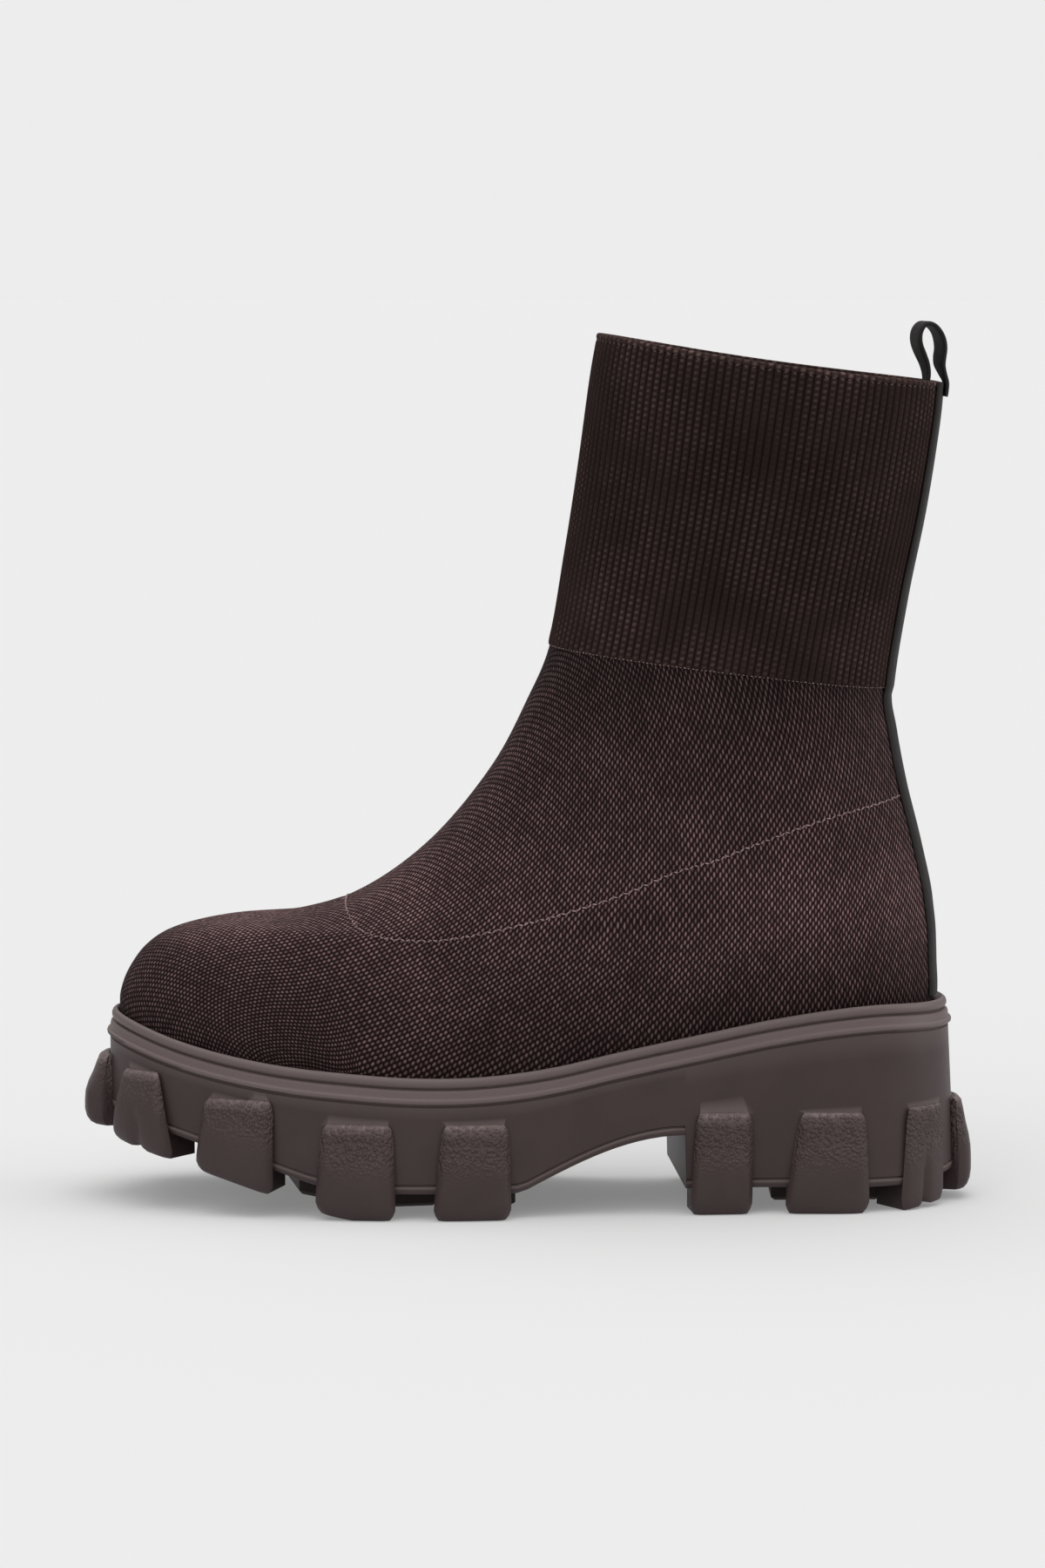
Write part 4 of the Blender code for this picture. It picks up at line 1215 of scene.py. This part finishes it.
# painted shade in the valleys between the cuff's ribs
CUFF_VALLEY_SHADE = color(0.0098, 0.0056, 0.0050)
CUFF_STITCH = color(0.058, 0.037, 0.034)
CUFF_DOT = (0.40, 0.40)
CUFF_RELIEF = 0.00014
THREAD_DARK = color(0.060, 0.040, 0.039)
THREAD_LIGHT = color(0.105, 0.074, 0.072)
THREAD_RELIEF = 0.00005
HEM_LIGHT = 1.0
SEAM_LIGHT = 3.2  # the seams' thread is this much lighter
STRAP_DARK = color(0.0175, 0.0155, 0.0150)
STRAP_LIGHT = color(0.0285, 0.0255, 0.0245)
STRAP_RELIEF = 0.00006
RIDGE_PITCH = 0.9  # millimetres between the ridges of the tape
STRAP_ENDS = 20  # threads side by side in it
RUBBER_DARK = color(0.0435, 0.0255, 0.0255)
RUBBER_LIGHT = color(0.0490, 0.0300, 0.0298)
# colour of the painted light on rubber that faces up and on the rim
RUBBER_PAINTED_LIGHT = color(0.150, 0.115, 0.111)
# painted light on the lugs' grained upper halves, which catch the light from above
PEBBLE_PAINTED_LIGHT = 1.25
LUG_RELIEF = 0.00065
WALL_RELIEF = 0.0003
INSOLE_DARK = color(0.030, 0.026, 0.025)
INSOLE_LIGHT = color(0.060, 0.053, 0.050)
INSOLE_RELIEF = 0.0002


def knit_material():
    """Foot knit: light staggered stitches over a dark ground, with painted light that makes the toe's top
    redder and lighter, and painted light and shade from the points' tone.
    """
    material, tree, shader = blank("foot_knit", roughness=0.90, specular=0.10)
    along, across, vary = knit_cells(tree, COURSE, WALE)
    dot = dot_of(tree, along, across, *KNIT_DOT)
    yarn = shade(tree, KNIT_YARN, mapped(tree, vary, 0.0, 1.0, *KNIT_SHADES))
    tone = blend(tree, dot, KNIT_GROUND, yarn)
    tone = shade(tree, tone, cloudy(tree, KNIT_CLOUDS, 0.82, 1.14, 5.0))
    place = node(tree, "ShaderNodeSeparateXYZ", (0, node(tree, "ShaderNodeTexCoord").outputs["Object"]))
    # painted light on the top of the toe, which faces the light from above
    toe = maths(tree, "MULTIPLY", mapped(tree, place.outputs[0], *TOE_PAINTED_LIGHT_X),
                mapped(tree, place.outputs[2], *TOE_PAINTED_LIGHT_Z))
    tone = shade(tree, tone, mapped(tree, toe, 0.0, 1.0, 1.0, TOE_PAINTED_LIGHT))
    # the points' tone paints light and shade over the knit
    tone = shade(tree, tone, marked(tree, "tone"))
    finish(tree, shader, tone, dot, KNIT_RELIEF)
    return material


def cuff_material():
    """Cuff knit: darker, with faint small stitches on the ribs, painted shade in the valleys between them,
    and painted light and shade from the points' tone.
    """
    material, tree, shader = blank("cuff_knit", roughness=0.92, specular=0.06)
    along, across, vary = knit_cells(tree, RIB_COURSE, 1.0)
    dot = dot_of(tree, along, across, *CUFF_DOT)
    dot = maths(tree, "MULTIPLY", dot, mapped(tree, vary, 0.0, 1.0, 0.45, 1.0))
    # tone is painted light and shade; the stitches also show more where it paints light
    tone = marked(tree, "tone")
    strong = maths(tree, "MULTIPLY", mapped(tree, noise(tree, KNIT_CLOUDS), 0.35, 0.64, 0.12, 1.0), tone)
    # painted shade in the valleys between the ribs
    valley_shade = mapped(tree, maths(tree, "ABSOLUTE", across), 0.33, 0.5)
    cloth = blend(tree, valley_shade, CUFF_CLOTH, CUFF_VALLEY_SHADE)
    cloth = blend(tree, maths(tree, "MULTIPLY", dot, strong), cloth, CUFF_STITCH)
    cloth = shade(tree, cloth, cloudy(tree, CUFF_CLOUDS, 0.88, 1.12))
    cloth = shade(tree, cloth, tone)
    finish(tree, shader, cloth, maths(tree, "ADD", dot, noise(tree, CUFF_FUZZ)), CUFF_RELIEF)
    return material


def thread_material(name, light):
    """Thread, light times its own brown."""
    material, tree, shader = blank(name, roughness=0.75, specular=0.3)
    tone = blend(tree, cloudy(tree, THREAD_CLOUDS, 0.0, 1.0), THREAD_DARK, THREAD_LIGHT)
    tone = shade(tree, tone, light)
    finish(tree, shader, tone, noise(tree, THREAD_FUZZ), THREAD_RELIEF)
    return material


def webbing_material():
    """Charcoal woven tape with fine ridges across."""
    material, tree, shader = blank("charcoal_webbing", roughness=0.62, specular=0.14)
    place = fabric_place(tree)
    ridge = maths(tree, "SINE", maths(tree, "MULTIPLY", place[1], 2 * math.pi / RIDGE_PITCH))
    ends = maths(tree, "SINE", maths(tree, "MULTIPLY", place[0], 2 * math.pi * STRAP_ENDS))
    weave = maths(tree, "MULTIPLY", ridge, ends)
    tone = blend(tree, mapped(tree, weave, -1.0, 1.0), STRAP_DARK, STRAP_LIGHT)
    tone = shade(tree, tone, cloudy(tree, STRAP_CLOUDS, 0.85, 1.15))
    finish(tree, shader, tone, weave, STRAP_RELIEF)
    return material


def rubber_material(name, grained):
    """Moulded rubber, matte and slightly mottled, with pebble grain on the lugs' upper halves; painted light
    on faces that look up, on the rim band and on the grained halves of the lugs.
    """
    material, tree, shader = blank(name, roughness=0.50, specular=0.36)
    tone = blend(tree, cloudy(tree, RUBBER_CLOUDS, 0.0, 1.0, 5.0), RUBBER_DARK, RUBBER_LIGHT)
    # painted light on faces that look up and on the rim band
    tone = blend(tree, marked(tree, "painted_light"), tone, RUBBER_PAINTED_LIGHT)
    height = maths(tree, "MULTIPLY", noise(tree, RUBBER_FUZZ), 0.25)
    if grained:
        place = node(tree, "ShaderNodeTexCoord").outputs["Object"]
        cells = node(tree, "ShaderNodeTexVoronoi", ("Vector", place), ("Scale", PEBBLE_SCALE),
                     ("Randomness", 1.0))
        grain = marked(tree, "grain")
        pebble = mapped(tree, cells.outputs["Distance"], 0.75, 0.1)
        height = maths(tree, "ADD", height, maths(tree, "MULTIPLY", pebble, grain))
        # painted light on the grained upper halves of the lugs
        tone = shade(tree, tone, mapped(tree, grain, 0.0, 1.0, 1.0, PEBBLE_PAINTED_LIGHT))
    finish(tree, shader, tone, height, LUG_RELIEF if grained else WALL_RELIEF)
    return material


def insole_material():
    material, tree, shader = blank("insole_cloth", roughness=0.9, specular=0.2)
    tone = blend(tree, mapped(tree, noise(tree, INSOLE_CLOUDS), 0.35, 0.65), INSOLE_DARK, INSOLE_LIGHT)
    finish(tree, shader, tone, noise(tree, INSOLE_FUZZ), INSOLE_RELIEF)
    return material


# Surroundings

FLOOR_COLOR = color(0.50, 0.50, 0.50)
FLOOR_GLOW = 0.20  # the table is lit through, so shadows on it stay pale
SKY_LOW = 0.15  # the sky's light at the horizon
SKY_HIGH = 0.95  # and straight above
SKY_SEEN = 0.845
# Soft lights: name, strength, width in degrees, and how it is turned
Lamp = namedtuple("Lamp", "name strength width turn")
LAMPS = rows_of(Lamp, [
    ("top_light", 1.3, 60, (0.0, 0.0, 0.0)),
    ("front_light", 0.5, 50, (52.0, 0.0, -22.0)),
    ("side_light", 0.8, 40, (0.0, 66.0, 0.0)),
])


def build_floor():
    material, _, shader = blank("pale_floor", roughness=1.0, specular=0.0)
    shader.inputs["Base Color"].default_value = FLOOR_COLOR
    shader.inputs["Emission Color"].default_value = color(1.0, 1.0, 1.0)
    shader.inputs["Emission Strength"].default_value = FLOOR_GLOW
    corners = [(-FLOOR_HALF, -FLOOR_HALF, 0), (FLOOR_HALF, -FLOOR_HALF, 0),
               (FLOOR_HALF, FLOOR_HALF, 0), (-FLOOR_HALF, FLOOR_HALF, 0)]
    floor = make_piece("pale_ground", corners, [[0, 1, 2, 3]], material)


def build_light():
    world = bpy.data.worlds.new("studio")
    bpy.context.scene.world = world
    world.use_nodes = True
    tree = world.node_tree
    back = tree.nodes["Background"]
    back.inputs["Color"].default_value = color(1.0, 1.0, 1.0)
    seen = node(tree, "ShaderNodeLightPath").outputs["Is Camera Ray"]
    way = node(tree, "ShaderNodeSeparateXYZ", (0, node(tree, "ShaderNodeTexCoord").outputs["Generated"]))
    sky = node(tree, "ShaderNodeMapRange", ("Value", way.outputs[2]), ("To Min", SKY_LOW),
               ("To Max", SKY_HIGH))
    span = node(tree, "ShaderNodeMapRange", ("Value", seen), ("To Min", sky.outputs["Result"]),
                ("To Max", SKY_SEEN))
    tree.links.new(span.outputs["Result"], back.inputs["Strength"])
    for lamp in LAMPS:
        light = bpy.data.lights.new(lamp.name, "SUN")
        light.energy = lamp.strength
        light.angle = math.radians(lamp.width)
        holder = bpy.data.objects.new(lamp.name, light)
        holder.rotation_euler = [math.radians(a) for a in lamp.turn]
        bpy.context.scene.collection.objects.link(holder)


def build_camera():
    """The photograph's view, in plain colours."""
    lens = bpy.data.cameras.new("photo_camera")
    lens.lens = LENS
    lens.sensor_width = SENSOR
    camera = bpy.data.objects.new("photo_camera", lens)
    camera.location = CAMERA_PLACE
    camera.rotation_euler = (CAMERA_PITCH, 0.0, 0.0)
    bpy.context.scene.collection.objects.link(camera)
    bpy.context.scene.camera = camera
    bpy.context.scene.view_settings.view_transform = "Standard"


def main():
    webbing = webbing_material()
    skin = foot_skin()
    pieces = [build_foot(skin, knit_material()), build_cuff(cuff_material())]
    pieces += build_all_stitches(skin, thread_material("hem_thread", HEM_LIGHT),
                                 thread_material("seam_thread", SEAM_LIGHT))
    pieces += [build_tape(webbing), build_loop(webbing)]
    pieces.append(build_sole(rubber_material("wall_rubber", False),
                             rubber_material("lug_rubber", True)))
    for piece in pieces:
        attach(piece, "root")
    insole = frame["nodes"]["insole"]
    insole.data.materials.clear()
    insole.data.materials.append(insole_material())
    build_floor()
    build_light()
    build_camera()


main()
